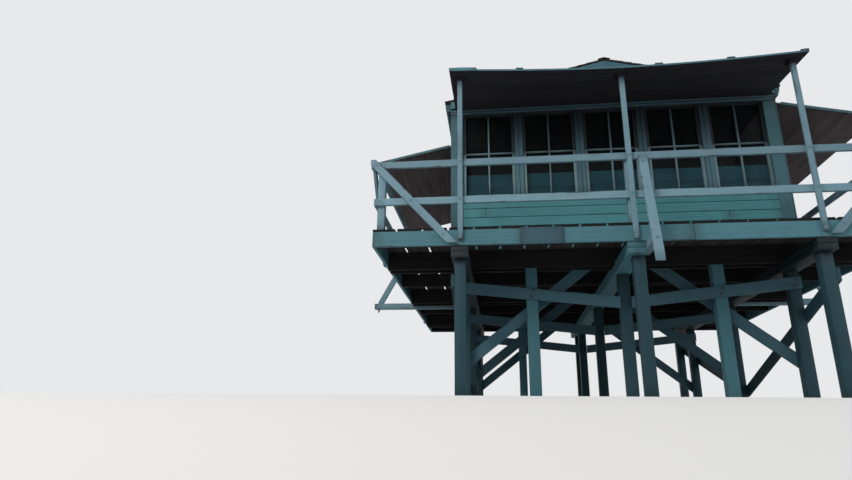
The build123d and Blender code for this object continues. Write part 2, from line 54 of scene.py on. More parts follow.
# %% Place the camera
camera_place = Vector((-1.5128, -9.5998, -0.3863))
forward = Vector((-0.11966, 0.94371, 0.30837)).normalized()
camera_roll = 0.0141

level_right = forward.cross(Vector((0, 0, 1))).normalized()
level_up = level_right.cross(forward)
right = math.cos(camera_roll) * level_right + math.sin(camera_roll) * level_up
up = math.cos(camera_roll) * level_up - math.sin(camera_roll) * level_right
camera = bpy.data.objects.new("camera", bpy.data.cameras.new("camera"))
camera.data.lens = 25.52
camera.data.sensor_width = 36.0
camera.matrix_world = Matrix((
    (right.x, up.x, -forward.x, camera_place.x),
    (right.y, up.y, -forward.y, camera_place.y),
    (right.z, up.z, -forward.z, camera_place.z),
    (0, 0, 0, 1)))
bpy.context.collection.objects.link(camera)
bpy.context.scene.camera = camera
bpy.context.scene.view_settings.view_transform = "Standard"
print("camera at", [round(v, 2) for v in camera_place])

# %% [markdown]
# ## The ground and the light
# The tower stands on high ground and the camera is lower than its feet. So the plain floor is a
# terrace: level under the legs, then a smooth slope in front, down to a lower level where the camera
# is. One edge is extruded along that profile. Light that bounces off the floor meets its true pale
# colour, while the camera sees a part of it as a plain glow, so that the lamps' pools stay faint.

# %% Finish of the floor
pale_floor = bpy.data.materials.new("pale_floor")
pale_floor.use_nodes = True
floor_tree = pale_floor.node_tree
floor_shader = floor_tree.nodes["Principled BSDF"]
floor_shader.inputs["Roughness"].default_value = 0.9
floor_shader.inputs["Emission Color"].default_value = (1.0, 0.99, 0.98, 1)
camera_ray = floor_tree.nodes.new("ShaderNodeLightPath").outputs["Is Camera Ray"]
floor_tone = floor_tree.nodes.new("ShaderNodeMix")
floor_tone.data_type = "RGBA"
floor_tone.inputs["A"].default_value = (0.72, 0.71, 0.70, 1)
floor_tone.inputs["B"].default_value = (0.36, 0.355, 0.35, 1)
floor_glow = floor_tree.nodes.new("ShaderNodeMath")
floor_glow.operation = "MULTIPLY"
floor_glow.inputs[1].default_value = 0.40
floor_tree.links.new(camera_ray, floor_tone.inputs["Factor"])
floor_tree.links.new(camera_ray, floor_glow.inputs[0])
floor_tree.links.new(floor_tone.outputs["Result"], floor_shader.inputs["Base Color"])
floor_tree.links.new(floor_glow.outputs[0], floor_shader.inputs["Emission Strength"])
print("floor finish:", pale_floor.name)

# %% Make the terrace
terrace_edge_y = -3.4
terrace_drop = 2.0
slope_depth = 3.4
slope_steps = 14
floor_reach = 45.0

floor_mesh = bmesh.new()
rim = [floor_mesh.verts.new((x, floor_reach, 0)) for x in (-floor_reach, floor_reach)]
floor_edge = floor_mesh.edges.new(rim)
profile = [(terrace_edge_y, 0.0)]
for step in range(1, slope_steps + 1):
    part = step / slope_steps
    ease = part * part * (3 - 2 * part)
    profile.append((terrace_edge_y - part * slope_depth, -terrace_drop * ease))
profile.append((-floor_reach, -terrace_drop))
at = Vector((0, floor_reach, 0))
for y, z in profile:
    grown = bmesh.ops.extrude_edge_only(floor_mesh, edges=[floor_edge])["geom"]
    verts = [item for item in grown if isinstance(item, bmesh.types.BMVert)]
    bmesh.ops.translate(floor_mesh, vec=Vector((0, y, z)) - at, verts=verts)
    floor_edge = [item for item in grown if isinstance(item, bmesh.types.BMEdge)][0]
    at = Vector((0, y, z))
bmesh.ops.recalc_face_normals(floor_mesh, faces=floor_mesh.faces)
for face in floor_mesh.faces:
    face.smooth = True
floor_data = bpy.data.meshes.new("floor")
floor_mesh.to_mesh(floor_data)
floor_mesh.free()
floor_data.materials.append(pale_floor)
floor = bpy.data.objects.new("floor", floor_data)
bpy.context.collection.objects.link(floor)
print("terrace edge at y =", terrace_edge_y)

# %% [markdown]
# A dim sky lights the boards from all round. Rays from the camera, from glossy wood and through the
# glass see a brighter, plain background instead. A large soft lamp at the front left shows the
# boards' edges without hard shadows, and two weaker ones fill in from the right and the back.

# %% The sky and the background
world = bpy.data.worlds.new("studio")
world.use_nodes = True
bpy.context.scene.world = world
world_nodes, world_links = world.node_tree.nodes, world.node_tree.links
sky = world_nodes["Background"]
sky.inputs["Color"].default_value = (0.86, 0.90, 0.95, 1)
sky.inputs["Strength"].default_value = 0.42
shown = world_nodes.new("ShaderNodeBackground")
shown.inputs["Color"].default_value = (0.80, 0.815, 0.83, 1)
shown.inputs["Strength"].default_value = 1.0
rays = world_nodes.new("ShaderNodeLightPath")
seen = rays.outputs["Is Camera Ray"]
for kind in ("Is Glossy Ray", "Is Transmission Ray"):
    either = world_nodes.new("ShaderNodeMath")
    either.operation = "MAXIMUM"
    world_links.new(seen, either.inputs[0])
    world_links.new(rays.outputs[kind], either.inputs[1])
    seen = either.outputs[0]
choose = world_nodes.new("ShaderNodeMixShader")
for socket, source in zip(choose.inputs, (seen, sky.outputs[0], shown.outputs[0])):
    world_links.new(source, socket)
world_links.new(choose.outputs[0], world_nodes["World Output"].inputs["Surface"])
print("sky strength", sky.inputs["Strength"].default_value)

# %% Lamps


def soft_lamp(name, place, aim, size, watts, colour):
    """A square area lamp that looks at a point."""
    data = bpy.data.lights.new(name, "AREA")
    data.size = size
    data.energy = watts
    data.color = colour
    lamp = bpy.data.objects.new(name, data)
    lamp.location = place
    lamp.rotation_euler = (Vector(aim) - Vector(place)).to_track_quat("-Z", "Y").to_euler()
    bpy.context.collection.objects.link(lamp)


cab_middle = (0, 0, 2.6)
soft_lamp("key", (-9, -12, 9), cab_middle, 7.0, 1500, (1.0, 0.98, 0.95))
soft_lamp("fill", (11, -7, 5), cab_middle, 8.0, 420, (0.92, 0.96, 1.0))
soft_lamp("back", (3, 13, 9), cab_middle, 8.0, 700, (1.0, 0.96, 0.92))

# %% [markdown]
# ## One recipe for every wooden surface
# Old painted timber is three things at once: bare grey wood with fibres along the board, paint that
# is thin at the edges, and dirt that gathers low down. The pattern must follow each board, so every
# board carries three attributes: `grain`, its own coordinates with X along the fibres, `half`, half
# its size, and `lot`, three random numbers. From them the shader knows how far each point is from
# the nearest edge, so paint can wear there, on any board and at any angle.

# %% A short way to write shader nodes


class Nodes:
    """A material's node tree, with one-line helpers for the nodes that the finishes use."""

    def __init__(self, name):
        self.material = bpy.data.materials.new(name)
        self.material.use_nodes = True
        self.tree = self.material.node_tree
        self.shader = self.tree.nodes["Principled BSDF"]

    def put(self, socket, value):
        if isinstance(value, bpy.types.NodeSocket):
            self.tree.links.new(value, socket)
        else:
            socket.default_value = value

    def attribute(self, name):
        node = self.tree.nodes.new("ShaderNodeAttribute")
        node.attribute_name = name
        return node.outputs["Vector"]

    def split(self, vector):
        node = self.tree.nodes.new("ShaderNodeSeparateXYZ")
        self.put(node.inputs[0], vector)
        return node.outputs[:]

    def place(self):
        return self.tree.nodes.new("ShaderNodeTexCoord").outputs["Object"]

    def math(self, operation, first, second=0.0):
        node = self.tree.nodes.new("ShaderNodeMath")
        node.operation = operation
        self.put(node.inputs[0], first)
        self.put(node.inputs[1], second)
        return node.outputs[0]

    def move(self, vector, scale, offset=(0, 0, 0)):
        node = self.tree.nodes.new("ShaderNodeVectorMath")
        node.operation = "MULTIPLY_ADD"
        self.put(node.inputs[0], vector)
        self.put(node.inputs[1], scale)
        self.put(node.inputs[2], offset)
        return node.outputs[0]

    def clouds(self, vector, scale, detail=4.0, roughness=0.55, distortion=0.0):
        node = self.tree.nodes.new("ShaderNodeTexNoise")
        self.put(node.inputs["Vector"], vector)
        self.put(node.inputs["Scale"], scale)
        self.put(node.inputs["Detail"], detail)
        self.put(node.inputs["Roughness"], roughness)
        self.put(node.inputs["Distortion"], distortion)
        return node.outputs["Fac"]

    def between(self, value, low, high, to_low=0.0, to_high=1.0):
        node = self.tree.nodes.new("ShaderNodeMapRange")
        node.interpolation_type = "SMOOTHSTEP"
        for socket, item in zip(node.inputs, (value, low, high, to_low, to_high)):
            self.put(socket, item)
        return node.outputs[0]

    def mix(self, factor, first, second, blend="MIX"):
        node = self.tree.nodes.new("ShaderNodeMix")
        node.data_type = "RGBA"
        node.blend_type = blend
        self.put(node.inputs["Factor"], factor)
        self.put(node.inputs["A"], first)
        self.put(node.inputs["B"], second)
        return node.outputs["Result"]

    def bump(self, height, depth):
        node = self.tree.nodes.new("ShaderNodeBump")
        node.inputs["Strength"].default_value = 1.0
        node.inputs["Distance"].default_value = depth
        self.put(node.inputs["Height"], height)
        self.put(self.shader.inputs["Normal"], node.outputs[0])


def tint(red, green, blue):
    """A colour given as a painter reads it off a chart, 0 to 255, in the linear values of a shader."""
    return tuple(((v / 255 + 0.055) / 1.055) ** 2.4 for v in (red, green, blue)) + (1.0,)


# %% [markdown]
# ### Fibres, rings and cracks
# Wood is a bundle of rings round the tree's middle, so the pattern is made in three dimensions: the
# distance from a line beside the board gives rings on the ends and long streaks on the faces. Noise
# that is stretched along X adds fibres, and the tops of a finer one are the drying cracks.

# %% Bare wood, and paint over it


def bare_wood(n, grain, lot, shifted, bare, dark, crack):
    """Colour of bare wood, with the streaks, fibres and cracks that also make its relief."""
    streak = n.clouds(n.move(shifted, (1.1, 24.0, 24.0)), 1.0, 6.0, 0.62)
    fibre = n.clouds(n.move(shifted, (3.0, 160.0, 160.0)), 1.0, 3.0, 0.6)
    ring_place = n.move(grain, (0.04, 1.0, 1.0), n.move(lot, (0.0, 0.16, 0.10), (0.0, 0.02, 0.04)))
    node = n.tree.nodes.new("ShaderNodeVectorMath")
    node.operation = "LENGTH"
    n.put(node.inputs[0], ring_place)
    wavy = n.math("ADD", node.outputs["Value"], n.math("MULTIPLY", streak, 0.012))
    rings = n.math("SINE", n.math("MULTIPLY", wavy, 900.0))
    lines = n.clouds(n.move(shifted, (0.7, 70.0, 70.0)), 1.0, 4.0, 0.5, 0.4)
    cracks = n.between(lines, crack, crack + 0.05)

    wood = n.mix(n.between(streak, 0.30, 0.70), dark, bare)
    wood = n.mix(n.math("MULTIPLY", n.between(rings, 0.2, 1.0), 0.28), wood, dark)
    wood = n.mix(n.math("MULTIPLY", fibre, 0.30), wood, dark)
    wood = n.mix(n.math("MULTIPLY", cracks, 0.85), wood, tint(24, 22, 22))
    return wood, streak, fibre, cracks


def still_painted(n, gaps, streak, blotch, cover):
    """Where the paint has lasted: it wears at the edges first, and flakes off in patches."""
    low = n.math("MINIMUM", gaps[1], gaps[2])
    high = n.math("MAXIMUM", gaps[1], gaps[2])
    edge = n.math("MAXIMUM", low, n.math("MINIMUM", high, gaps[0]))
    ragged = n.math("ADD", edge, n.math("MULTIPLY", n.math("SUBTRACT", streak, 0.5), 0.05))
    worn = n.math("MULTIPLY", n.between(ragged, 0.007, 0.003), n.between(blotch, 0.50, 0.62))
    patches = n.math("ADD", n.math("MULTIPLY", streak, 0.55), n.math("MULTIPLY", blotch, 0.45))
    flaked = n.between(patches, cover, cover + 0.035)
    return n.math("SUBTRACT", 1.0, n.math("MAXIMUM", n.math("MULTIPLY", worn, 0.8), flaked))


# %% The whole finish
def wooden_finish(name, bare, dark, paint=None, cover=0.0, stain=0.35, crack=0.66, grime=0.0):
    """A material for boards: bare wood with streaks and cracks, and worn paint if a colour is given.

    `cover` is how much the paint still covers, `stain` how dirty the board is, `crack` how rare its
    cracks are, and the last argument how much painted shade darkens it high up, under the eaves and shutters.
    """
    n = Nodes(name)
    grain, half, lot = n.attribute("grain"), n.attribute("half"), n.attribute("lot")
    shifted = n.move(lot, (31.0, 17.0, 23.0), grain)
    surface, streak, fibre, cracks = bare_wood(n, grain, lot, shifted, bare, dark, crack)
    gaps = [n.math("SUBTRACT", h, n.math("ABSOLUTE", g)) for g, h in zip(n.split(grain), n.split(half))]
    blotch = n.clouds(shifted, 3.2, 5.0, 0.6)
    end_dirt = n.between(gaps[0], 0.0, 0.16, 1.0, 0.0)

    if paint:
        painted = still_painted(n, gaps, streak, blotch, cover)
        thin_paint = tuple(0.80 * v for v in paint[:3]) + (1,)
        chalk = n.mix(n.between(blotch, 0.3, 0.7), thin_paint, paint)
        chalk = n.mix(n.math("MULTIPLY", n.between(fibre, 0.45, 0.75), 0.22), chalk, dark)
        surface = n.mix(painted, surface, chalk)
    dirt = n.math("MULTIPLY", n.math("ADD", n.between(blotch, 0.45, 0.78), end_dirt), stain)
    surface = n.mix(n.math("MINIMUM", dirt, 0.8), surface, tint(34, 33, 33))
    # Bare end grain goes near black: partly the wood's own darker end grain, partly painted shade.
    if not paint:
        surface = n.mix(n.between(gaps[0], 0.004, 0.014, 0.9, 0.0), surface, tint(12, 12, 12))
    # Painted shade: from 3.0 m up to 3.9 m the board darkens, as if shaded by the shutters above.
    if grime:
        height_up = n.split(n.place())[2]
        surface = n.mix(n.between(height_up, 3.0, 3.9, 0.0, grime), surface, tint(22, 21, 22))
    grey = n.math("ADD", 0.86, n.math("MULTIPLY", n.split(lot)[1], 0.26))
    tone = n.tree.nodes.new("ShaderNodeCombineColor")
    for socket in tone.inputs[:3]:
        n.put(socket, grey)
    surface = n.mix(1.0, surface, tone.outputs[0], "MULTIPLY")
    n.put(n.shader.inputs["Base Color"], surface)
    rough = n.math("SUBTRACT", 0.9, n.math("MULTIPLY", painted, 0.28)) if paint else 0.86
    n.put(n.shader.inputs["Roughness"], rough)
    n.shader.inputs["Specular IOR Level"].default_value = 0.22
    height = n.math("ADD", n.math("MULTIPLY", streak, 0.6), n.math("MULTIPLY", fibre, 0.35))
    height = n.math("SUBTRACT", height, n.math("MULTIPLY", cracks, 1.2))
    if paint:
        height = n.math("ADD", height, n.math("MULTIPLY", painted, 0.35))
    n.bump(height, 0.0022)
    return n.material


def painted_finish(name, paint, cover=0.66, bare=(116, 117, 114), dark=(66, 66, 65), **wear):
    """A painted finish, over grey wood if no other is given, with its colours as on a chart."""
    return wooden_finish(name, tint(*bare), tint(*dark), tint(*paint), cover, **wear)


# %% [markdown]
# The tower was painted more than once: the rails are the palest, the legs and girders the darkest, their
# paint darkened partly as painted shade under the deck. The undersides of shutters and the floor's frame
# were never painted; the bare wood of the frame and of the end shutters' undersides is darker partly as
# painted shade.

# %% The colours of this tower
blue_grey_wood = {"bare": (84, 92, 95), "dark": (44, 48, 50)}
rail_paint = painted_finish("rail_paint", (110, 142, 155), 0.63)
fascia_paint = painted_finish("fascia_paint", (76, 122, 133), 0.63)
trim_paint = painted_finish("trim_paint", (66, 104, 114))
siding_paint = painted_finish("siding_paint", (77, 141, 148), stain=0.2)
# Legs: dark paint, made darker still as painted shade under the deck.
leg_paint = painted_finish("leg_timber", (33, 64, 73), 0.64, (42, 54, 60), (25, 32, 36), stain=0.35)
tie_paint = painted_finish("tie_timber", (66, 101, 113), 0.64, **blue_grey_wood, stain=0.25)
post_paint = painted_finish("post_timber", (72, 120, 131), 0.62, **blue_grey_wood, stain=0.3)
# Floor frame: bare wood, darkened partly as painted shade under the deck.
frame_wood = wooden_finish("frame_timber", tint(33, 32, 34), tint(18, 18, 20), stain=0.3)
plank_wood = wooden_finish("plank_wood", tint(70, 68, 68), tint(36, 35, 35), stain=0.4, crack=0.62)
# End shutters' undersides: bare wood, far darker than the side shutters', partly as painted shade under them.
shutter_wood = wooden_finish("shutter_wood", tint(50, 49, 56), tint(36, 34, 41), stain=0.2, crack=0.74)
side_shutter_wood = wooden_finish("side_shutter_wood", tint(110, 98, 99), tint(78, 70, 72),
                                  stain=0.2, crack=0.74)
# Girders: the darkest paint, partly painted shade under the deck.
girder_paint = painted_finish("girder_timber", (23, 41, 48), 0.70, (25, 34, 38), (16, 20, 23), stain=0.4)
shingle_wood = wooden_finish("roof_shingle", tint(104, 98, 92), tint(56, 51, 47), stain=0.35, crack=0.60)
sign_wood = painted_finish("sign_wood", (58, 89, 100), 0.64, (112, 120, 121), (70, 75, 76), stain=0.25)
inside_wood = wooden_finish("inside_wood", tint(30, 28, 27), tint(18, 17, 16), stain=0.3)
print("wooden finishes:", [m.name for m in bpy.data.materials if m.use_nodes and m.name != "pale_floor"])

# %% [markdown]
# ### Iron
# Nails and bolts are small, but a lookout without them looks like a paper model. The nails and rods
# are dark and rough. The bolts of the railing and of the legs were painted over with the boards.

# %% Iron


def iron_finish(name, light, rust, metal):
    """Weathered iron: dark metal under patches of rust."""
    n = Nodes(name)
    patches = n.clouds(n.place(), 60.0, 5.0, 0.6)
    n.put(n.shader.inputs["Base Color"], n.mix(n.between(patches, 0.38, 0.62), light, rust))
    n.shader.inputs["Metallic"].default_value = metal
    n.put(n.shader.inputs["Roughness"], n.between(patches, 0.3, 0.7, 0.42, 0.85))
    n.bump(patches, 0.0006)
    return n.material


iron = iron_finish("stay_iron", tint(62, 64, 66), tint(66, 56, 50), 0.6)
painted_iron = iron_finish("bolt_paint", tint(100, 138, 150), tint(80, 108, 118), 0.0)
leg_iron = iron_finish("leg_bolt_paint", tint(50, 72, 80), tint(54, 52, 52), 0.0)
print("iron finishes:", iron.name, painted_iron.name, leg_iron.name)

# %% [markdown]
# ## How a board is made
# Every board starts as `create_cube`, is scaled to its sawn size, gets a few cuts along its length,
# and is bent by a millimetre or two of smooth noise, because no old board is quite straight. Its
# edges are bevelled, its coordinates are written into `grain`, and only then does it move to its
# place. Slanting ends are cut there with `bisect_plane`. Boards of one CAD node share one mesh. Both
# sources of chance, the random numbers and the noise, are seeded, so each run gives the same boards.

# %% The board maker
rng = random.Random(1934)
noise.seed_set(1934)


def put_layers(bm, size):
    """Write a board's own coordinates, half size and random lot on its vertices."""
    grain = bm.verts.layers.float_vector.new("grain")
    half = bm.verts.layers.float_vector.new("half")
    lot = bm.verts.layers.float_vector.new("lot")
    number = Vector((rng.random(), rng.random(), rng.random()))
    for vert in bm.verts:
        vert[grain] = vert.co
        vert[half] = Vector(size) / 2
        vert[lot] = number


def bevel_sharp(bm, width, segments=1):
    """Round every sharp edge of a small mesh."""
    sharp = [edge for edge in bm.edges if edge.is_manifold and edge.calc_face_angle() > 0.6]
    bmesh.ops.bevel(bm, geom=sharp, offset=width, offset_type="OFFSET", affect="EDGES",
                    segments=segments, profile=0.5, material=-1, clamp_overlap=True)


def join_into(target, bm):
    """Add a small mesh to the mesh of its whole piece."""
    data = bpy.data.meshes.new("part")
    bm.to_mesh(data)
    bm.free()
    target.from_mesh(data)
    bpy.data.meshes.remove(data)


def board(target, size, place, wobble=0.0015, edge=0.004, cuts=(), segments=1):
    """One board: its size with the length first, its place, and planes that trim its ends there."""
    bm = bmesh.new()
    bmesh.ops.create_cube(bm, size=1.0)
    bmesh.ops.scale(bm, vec=Vector(size), verts=bm.verts)
    slices = min(int(size[0] / 0.25), 18) if wobble else 0
    if slices:
        long_edges = [e for e in bm.edges if abs(e.verts[0].co.x - e.verts[1].co.x) > size[0] / 2]
        bmesh.ops.subdivide_edges(bm, edges=long_edges, cuts=slices)
    bevel_sharp(bm, edge, segments)
    put_layers(bm, size)
    if wobble:
        start = Vector((rng.uniform(-50, 50), rng.uniform(-50, 50), rng.uniform(-50, 50)))
        for vert in bm.verts:
            bend = noise.noise_vector(Vector((vert.co.x * 1.3, vert.co.y * 6, vert.co.z * 6)) + start)
            vert.co += Vector((0.3 * bend.x, bend.y, bend.z)) * wobble
    bmesh.ops.transform(bm, matrix=place, verts=bm.verts)
    for point, direction in cuts:
        everything = bm.verts[:] + bm.edges[:] + bm.faces[:]
        made = bmesh.ops.bisect_plane(
            bm, geom=everything, plane_co=point, plane_no=direction, clear_outer=True)
        loop = [item for item in made["geom_cut"] if isinstance(item, bmesh.types.BMEdge)]
        bmesh.ops.edgeloop_fill(bm, edges=loop)
    join_into(target, bm)


# %% Boards between two corners, and boards on a slant
turned = {
    "x": Matrix.Identity(4),
    "y": Matrix.Rotation(math.radians(90), 4, "Z"),
    "z": Matrix.Rotation(math.radians(-90), 4, "Y"),
}
straight = Matrix.Identity(4)


def timber(target, low, high, along, turn=straight, **shape):
    """A squared board between two corners, with its fibres along one axis."""
    low, high = Vector(low), Vector(high)
    span = high - low
    order = {"x": (0, 1, 2), "y": (1, 0, 2), "z": (2, 1, 0)}[along]
    size = [span[axis] for axis in order]
    board(target, size, turn @ Matrix.Translation((low + high) / 2) @ turned[along], **shape)


def slanting(target, start, end, width, thickness, flat_to, end_cut=None, trims=(), **shape):
    """A board whose middle line runs from start to end, with its wide face towards flat_to."""
    start, end, face = Vector(start), Vector(end), Vector(flat_to).normalized()
    run = (end - start).normalized()
    side = face.cross(run).normalized()
    place = Matrix((
        (run.x, side.x, face.x, 0), (run.y, side.y, face.y, 0), (run.z, side.z, face.z, 0), (0, 0, 0, 1)))
    spare = 2 * width if end_cut else 0.0
    size = ((end - start).length + spare, width, thickness)
    cuts = list(trims)
    if end_cut:
        away = Vector(end_cut).normalized()
        if away.dot(run) < 0:
            away = -away
        cuts += [(end, away), (start, -away)]
    board(target, size, Matrix.Translation((start + end) / 2) @ place, cuts=cuts, **shape)


def paint_since(bm, count, index=1):
    """Give the faces made since a count of faces another of the piece's materials."""
    bm.faces.ensure_lookup_table()
    for face in bm.faces[count:]:
        face.material_index = index


def finished(bm, name, materials, replaces=()):
    """Turn a finished mesh into a piece of the tower that rides on its one body."""
    label = f"{name}_dressed" if replaces else name
    data = bpy.data.meshes.new(label)
    bm.to_mesh(data)
    bm.free()
    for material in materials:
        data.materials.append(material)
    data.shade_smooth()
    data.set_sharp_from_angle(angle=math.radians(40))
    piece = bpy.data.objects.new(label, data)
    bpy.context.collection.objects.link(piece)
    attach(piece, "root")
    if replaces:
        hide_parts(*replaces)
    print(f"{label}: {len(data.polygons)} faces")


# %% [markdown]
# ### Nails and bolts
# A nail head is a low cone of eight sides. A bolt is a round head on a wide washer. Each is made
# once, then added wherever the boards meet, turned so that it faces out of the wood.

# %% Nails and bolts
def fastener(bolt):
    """The mesh of one nail head, or of one bolt head on its washer, facing along Z."""
    bm = bmesh.new()
    if bolt:
        bmesh.ops.create_cone(bm, cap_ends=True, segments=12, radius1=0.020, radius2=0.018, depth=0.004,
                              matrix=Matrix.Translation((0, 0, 0.001)))
        bmesh.ops.create_cone(bm, cap_ends=True, segments=10, radius1=0.0125, radius2=0.007, depth=0.009,
                              matrix=Matrix.Translation((0, 0, 0.0072)))
    else:
        bmesh.ops.create_cone(bm, cap_ends=True, segments=8, radius1=0.0052, radius2=0.0036, depth=0.003,
                              matrix=Matrix.Translation((0, 0, 0.0008)))
    data = bpy.data.meshes.new("fastener")
    bm.to_mesh(data)
    bm.free()
    return data


nail_head, bolt_head = fastener(False), fastener(True)


def drive(target, head, places, facing):
    """Add a nail or bolt head at each place, facing out along a direction."""
    turn = Vector(facing).to_track_quat("Z", "Y").to_matrix().to_4x4()
    for place in places:
        bm = bmesh.new()
        bm.from_mesh(head)
        bmesh.ops.transform(bm, matrix=Matrix.Translation(place) @ turn, verts=bm.verts)
        join_into(target, bm)


print("nail faces:", len(nail_head.polygons), "bolt faces:", len(bolt_head.polygons))

# %% [markdown]
# ## Sizes that the pieces share
# These repeat the values of the part's source, in metres, because this file stands alone.

# %% Shared sizes
cab_half = 4.267 / 2
deck_x, deck_y = cab_half + 0.844, cab_half + 0.893
deck_bottom = 1.692
fascia_top = deck_bottom + 0.184
deck_top = fascia_top + 0.032
thin_board = 0.038
leg_size, leg_spacing = 0.130, 1.961
leg_face = leg_size / 2
leg_lines = (-leg_spacing, 0, leg_spacing)
girder_bottom = deck_bottom - 0.140
beam_bottom = deck_bottom - 0.050
rim_leg_y = deck_y - 0.152
wall_leg_y = cab_half - 0.057
cab_rows = (-wall_leg_y, 0.0, wall_leg_y)
inner_post_x, inner_post_width = 1.117, 0.140


def layer(sign, outside, thick=thin_board):
    """The two faces, in order, of a board whose outer face stands at a distance on one side."""
    return sorted((sign * outside, sign * (outside - thick)))


print("deck", round(2 * deck_x, 3), "by", round(2 * deck_y, 3), "at", round(deck_top, 3))

# %% [markdown]
# ## Legs
# The legs are squared timbers with worn corners and long drying cracks. They get a wider bevel than
# the boards, in two segments, so that their edges catch the light.

# %% Legs
def legs(name, places):
    """Legs at the given places: x, y, width and top. The wider inner posts got a fresher coat; the legs'
    darker paint is partly painted shade.
    """
    bm = bmesh.new()
    for x, y, width, top in places:
        before = len(bm.faces)
        timber(bm, (x - width / 2, y - leg_face, 0), (x + width / 2, y + leg_face, top), "z",
               edge=0.009, segments=2, wobble=0.003)
        paint_since(bm, before, int(width > leg_size))
    finished(bm, name, [leg_paint, post_paint], [name])


middle_rim_leg_x = 0.028
for name, sign in (("front_legs", -1), ("back_legs", 1)):
    wall_y = sign * wall_leg_y
    rim_places = [(x, sign * rim_leg_y, leg_size, girder_bottom)
                  for x in (-leg_spacing, middle_rim_leg_x, leg_spacing)]
    wall_places = [(x, wall_y, leg_size, girder_bottom) for x in leg_lines]
    inner_places = [(x, wall_y, inner_post_width, fascia_top) for x in (-inner_post_x, inner_post_x)]
    legs(name, rim_places + wall_places + inner_places)
legs("middle_legs", [(x, 0, leg_size, girder_bottom) for x in leg_lines])

# %% [markdown]
# ## Girders and floor frame
# Each girder is two planks laid flat, one on the other, so a dark line runs along its side and its
# end. The double beams clasp the posts. They are cut in three places to sit over the girders, so here
# each is one long board above, with shorter boards hanging between the girders.

# %% Girders
girder_half = 0.100
girder_end = deck_y - 0.012
girder_middle = (girder_bottom + deck_bottom) / 2
bm = bmesh.new()
for x in leg_lines:
    before = len(bm.faces)
    for low, high in ((girder_bottom, girder_middle - 0.001), (girder_middle + 0.001, deck_bottom)):
        for near, far in ((-girder_end, 0), (0, girder_end)):
            timber(bm, (x - girder_half, near, low), (x + girder_half, far, high), "y",
                   edge=0.006, segments=2, wobble=0.002)
    paint_since(bm, before, int(x == 0))
finished(bm, "girders", [girder_paint, post_paint], ["girders"])

# %% Beams and joists
inside_x, inside_y = deck_x - thin_board, deck_y - thin_board
free_spans = ((-inside_x, -leg_spacing - girder_half), (-leg_spacing + girder_half, -girder_half))
bm = bmesh.new()


def joist(near, far):
    """A floor joist from one side rim to the other."""
    timber(bm, (-inside_x, near, deck_bottom), (inside_x, far, fascia_top), "x")


for row in cab_rows:
    for face in (-1, 1):
        near, far = sorted((row + face * leg_face, row + face * (leg_face + thin_board)))
        joist(near, far)
        for start, end in free_spans:
            for low, high in ((start, end), (-end, -start)):
                timber(bm, (low, near, beam_bottom), (high, far, deck_bottom + 0.006), "x", wobble=0)
for y in (-wall_leg_y / 2, wall_leg_y / 2):
    joist(y - thin_board / 2, y + thin_board / 2)
for sign in (-1, 1):
    joist(*layer(sign, inside_y))
finished(bm, "floor_joists", [frame_wood], ["floor_joists"])

# %% [markdown]
# ## Braces between the legs
# The braces are boards on a slant. Their ends are cut upright, flush with the legs, or level under a
# beam, and each crossing has a pair of bolts. In a row, level ties would do, but here they rise
# outward, and longer diagonals run from the outer legs' feet up to the double beams.

# %% Ties and diagonals in each row of legs
brace_width = 0.140
tie_outer, tie_inner = 0.290, 0.505
tie_slope = (tie_inner - tie_outer) / leg_spacing
tie_bolts = ((leg_spacing, 0.5 * leg_face), (inner_post_x, leg_spacing - inner_post_x))
diagonal_slope = 0.79
foot_x, foot_z = leg_spacing + leg_face, deck_bottom - 1.272
head_x = foot_x - (beam_bottom - foot_z) / diagonal_slope
pair_up = (-0.035, 0.035)
bm, bolts = bmesh.new(), bmesh.new()
for row in cab_rows:
    for side in (-1, 1):
        y = row - leg_face - thin_board / 2
        slanting(bm, (side * foot_x, y, deck_bottom - tie_outer),
                 (side * leg_face, y, deck_bottom - tie_inner),
                 brace_width, thin_board, (0, -1, 0), end_cut=(1, 0, 0))
        y = row + leg_face + thin_board / 2
        start, end = Vector((side * foot_x, y, foot_z)), Vector((side * head_x, y, beam_bottom))
        spare = (end - start).normalized() * 0.3
        slanting(bm, start - spare, end + spare, brace_width, thin_board, (0, -1, 0),
                 trims=[(start, Vector((side, 0, 0))), (end, Vector((0, 0, 1)))])
    for side in (-1, 1):
        for x, inward in tie_bolts if row else tie_bolts[:1]:
            z = deck_bottom - tie_outer - inward * tie_slope
            drive(bolts, bolt_head, [(side * x + 0.4 * dz, row - leg_face - thin_board, z + dz)
                                     for dz in pair_up], (0, -1, 0))
finished(bm, "row_braces", [tie_paint], ["row_braces"])

# %% [markdown]
# From row to row the outer legs are tied by one long board on each side of the middle leg. The two
# meet at that leg's foot, so the wind on the front wall is carried down to the ground there.

# %% Braces between the rows, along the sides
side_head, side_foot = deck_bottom - 0.395, deck_bottom - 1.400
bm = bmesh.new()
for side in (-1, 1):
    for end in (-1, 1):
        x = side * (foot_x + thin_board / 2)
        slanting(bm, (x, end * (rim_leg_y + leg_face), side_head), (x, end * thin_board / 2, side_foot),
                 brace_width, thin_board, (side, 0, 0), end_cut=(0, 1, 0))
        x = side * (foot_x + thin_board)
        places = [(x, end * rim_leg_y, side_head - 0.030 + dz) for dz in pair_up]
        places += [(x, end * 0.045, side_foot + 0.030 + dz) for dz in (-0.030, 0.040)]
        drive(bolts, bolt_head, places, (side, 0, 0))
finished(bm, "side_braces", [leg_paint], ["side_braces"])
finished(bolts, "brace_bolts", [leg_iron])

# %% [markdown]
# ## The deck
# The catwalk planks run from front to back and lie over the rim boards. Their ends make the dark line
# above the front rim, and the open slits between them cut that line with small ticks of light.

# %% Planks of the sides
plank_width, plank_gap, tight_gap = 0.275, 0.028, 0.002
beam_line = leg_face + thin_board / 2
end_joist_y = deck_y - 1.5 * thin_board
joist_lines = [sign * y for sign in (-1, 1) for y in (end_joist_y, wall_leg_y + beam_line, wall_leg_y / 2)]
joist_lines.append(beam_line)
nails = bmesh.new()


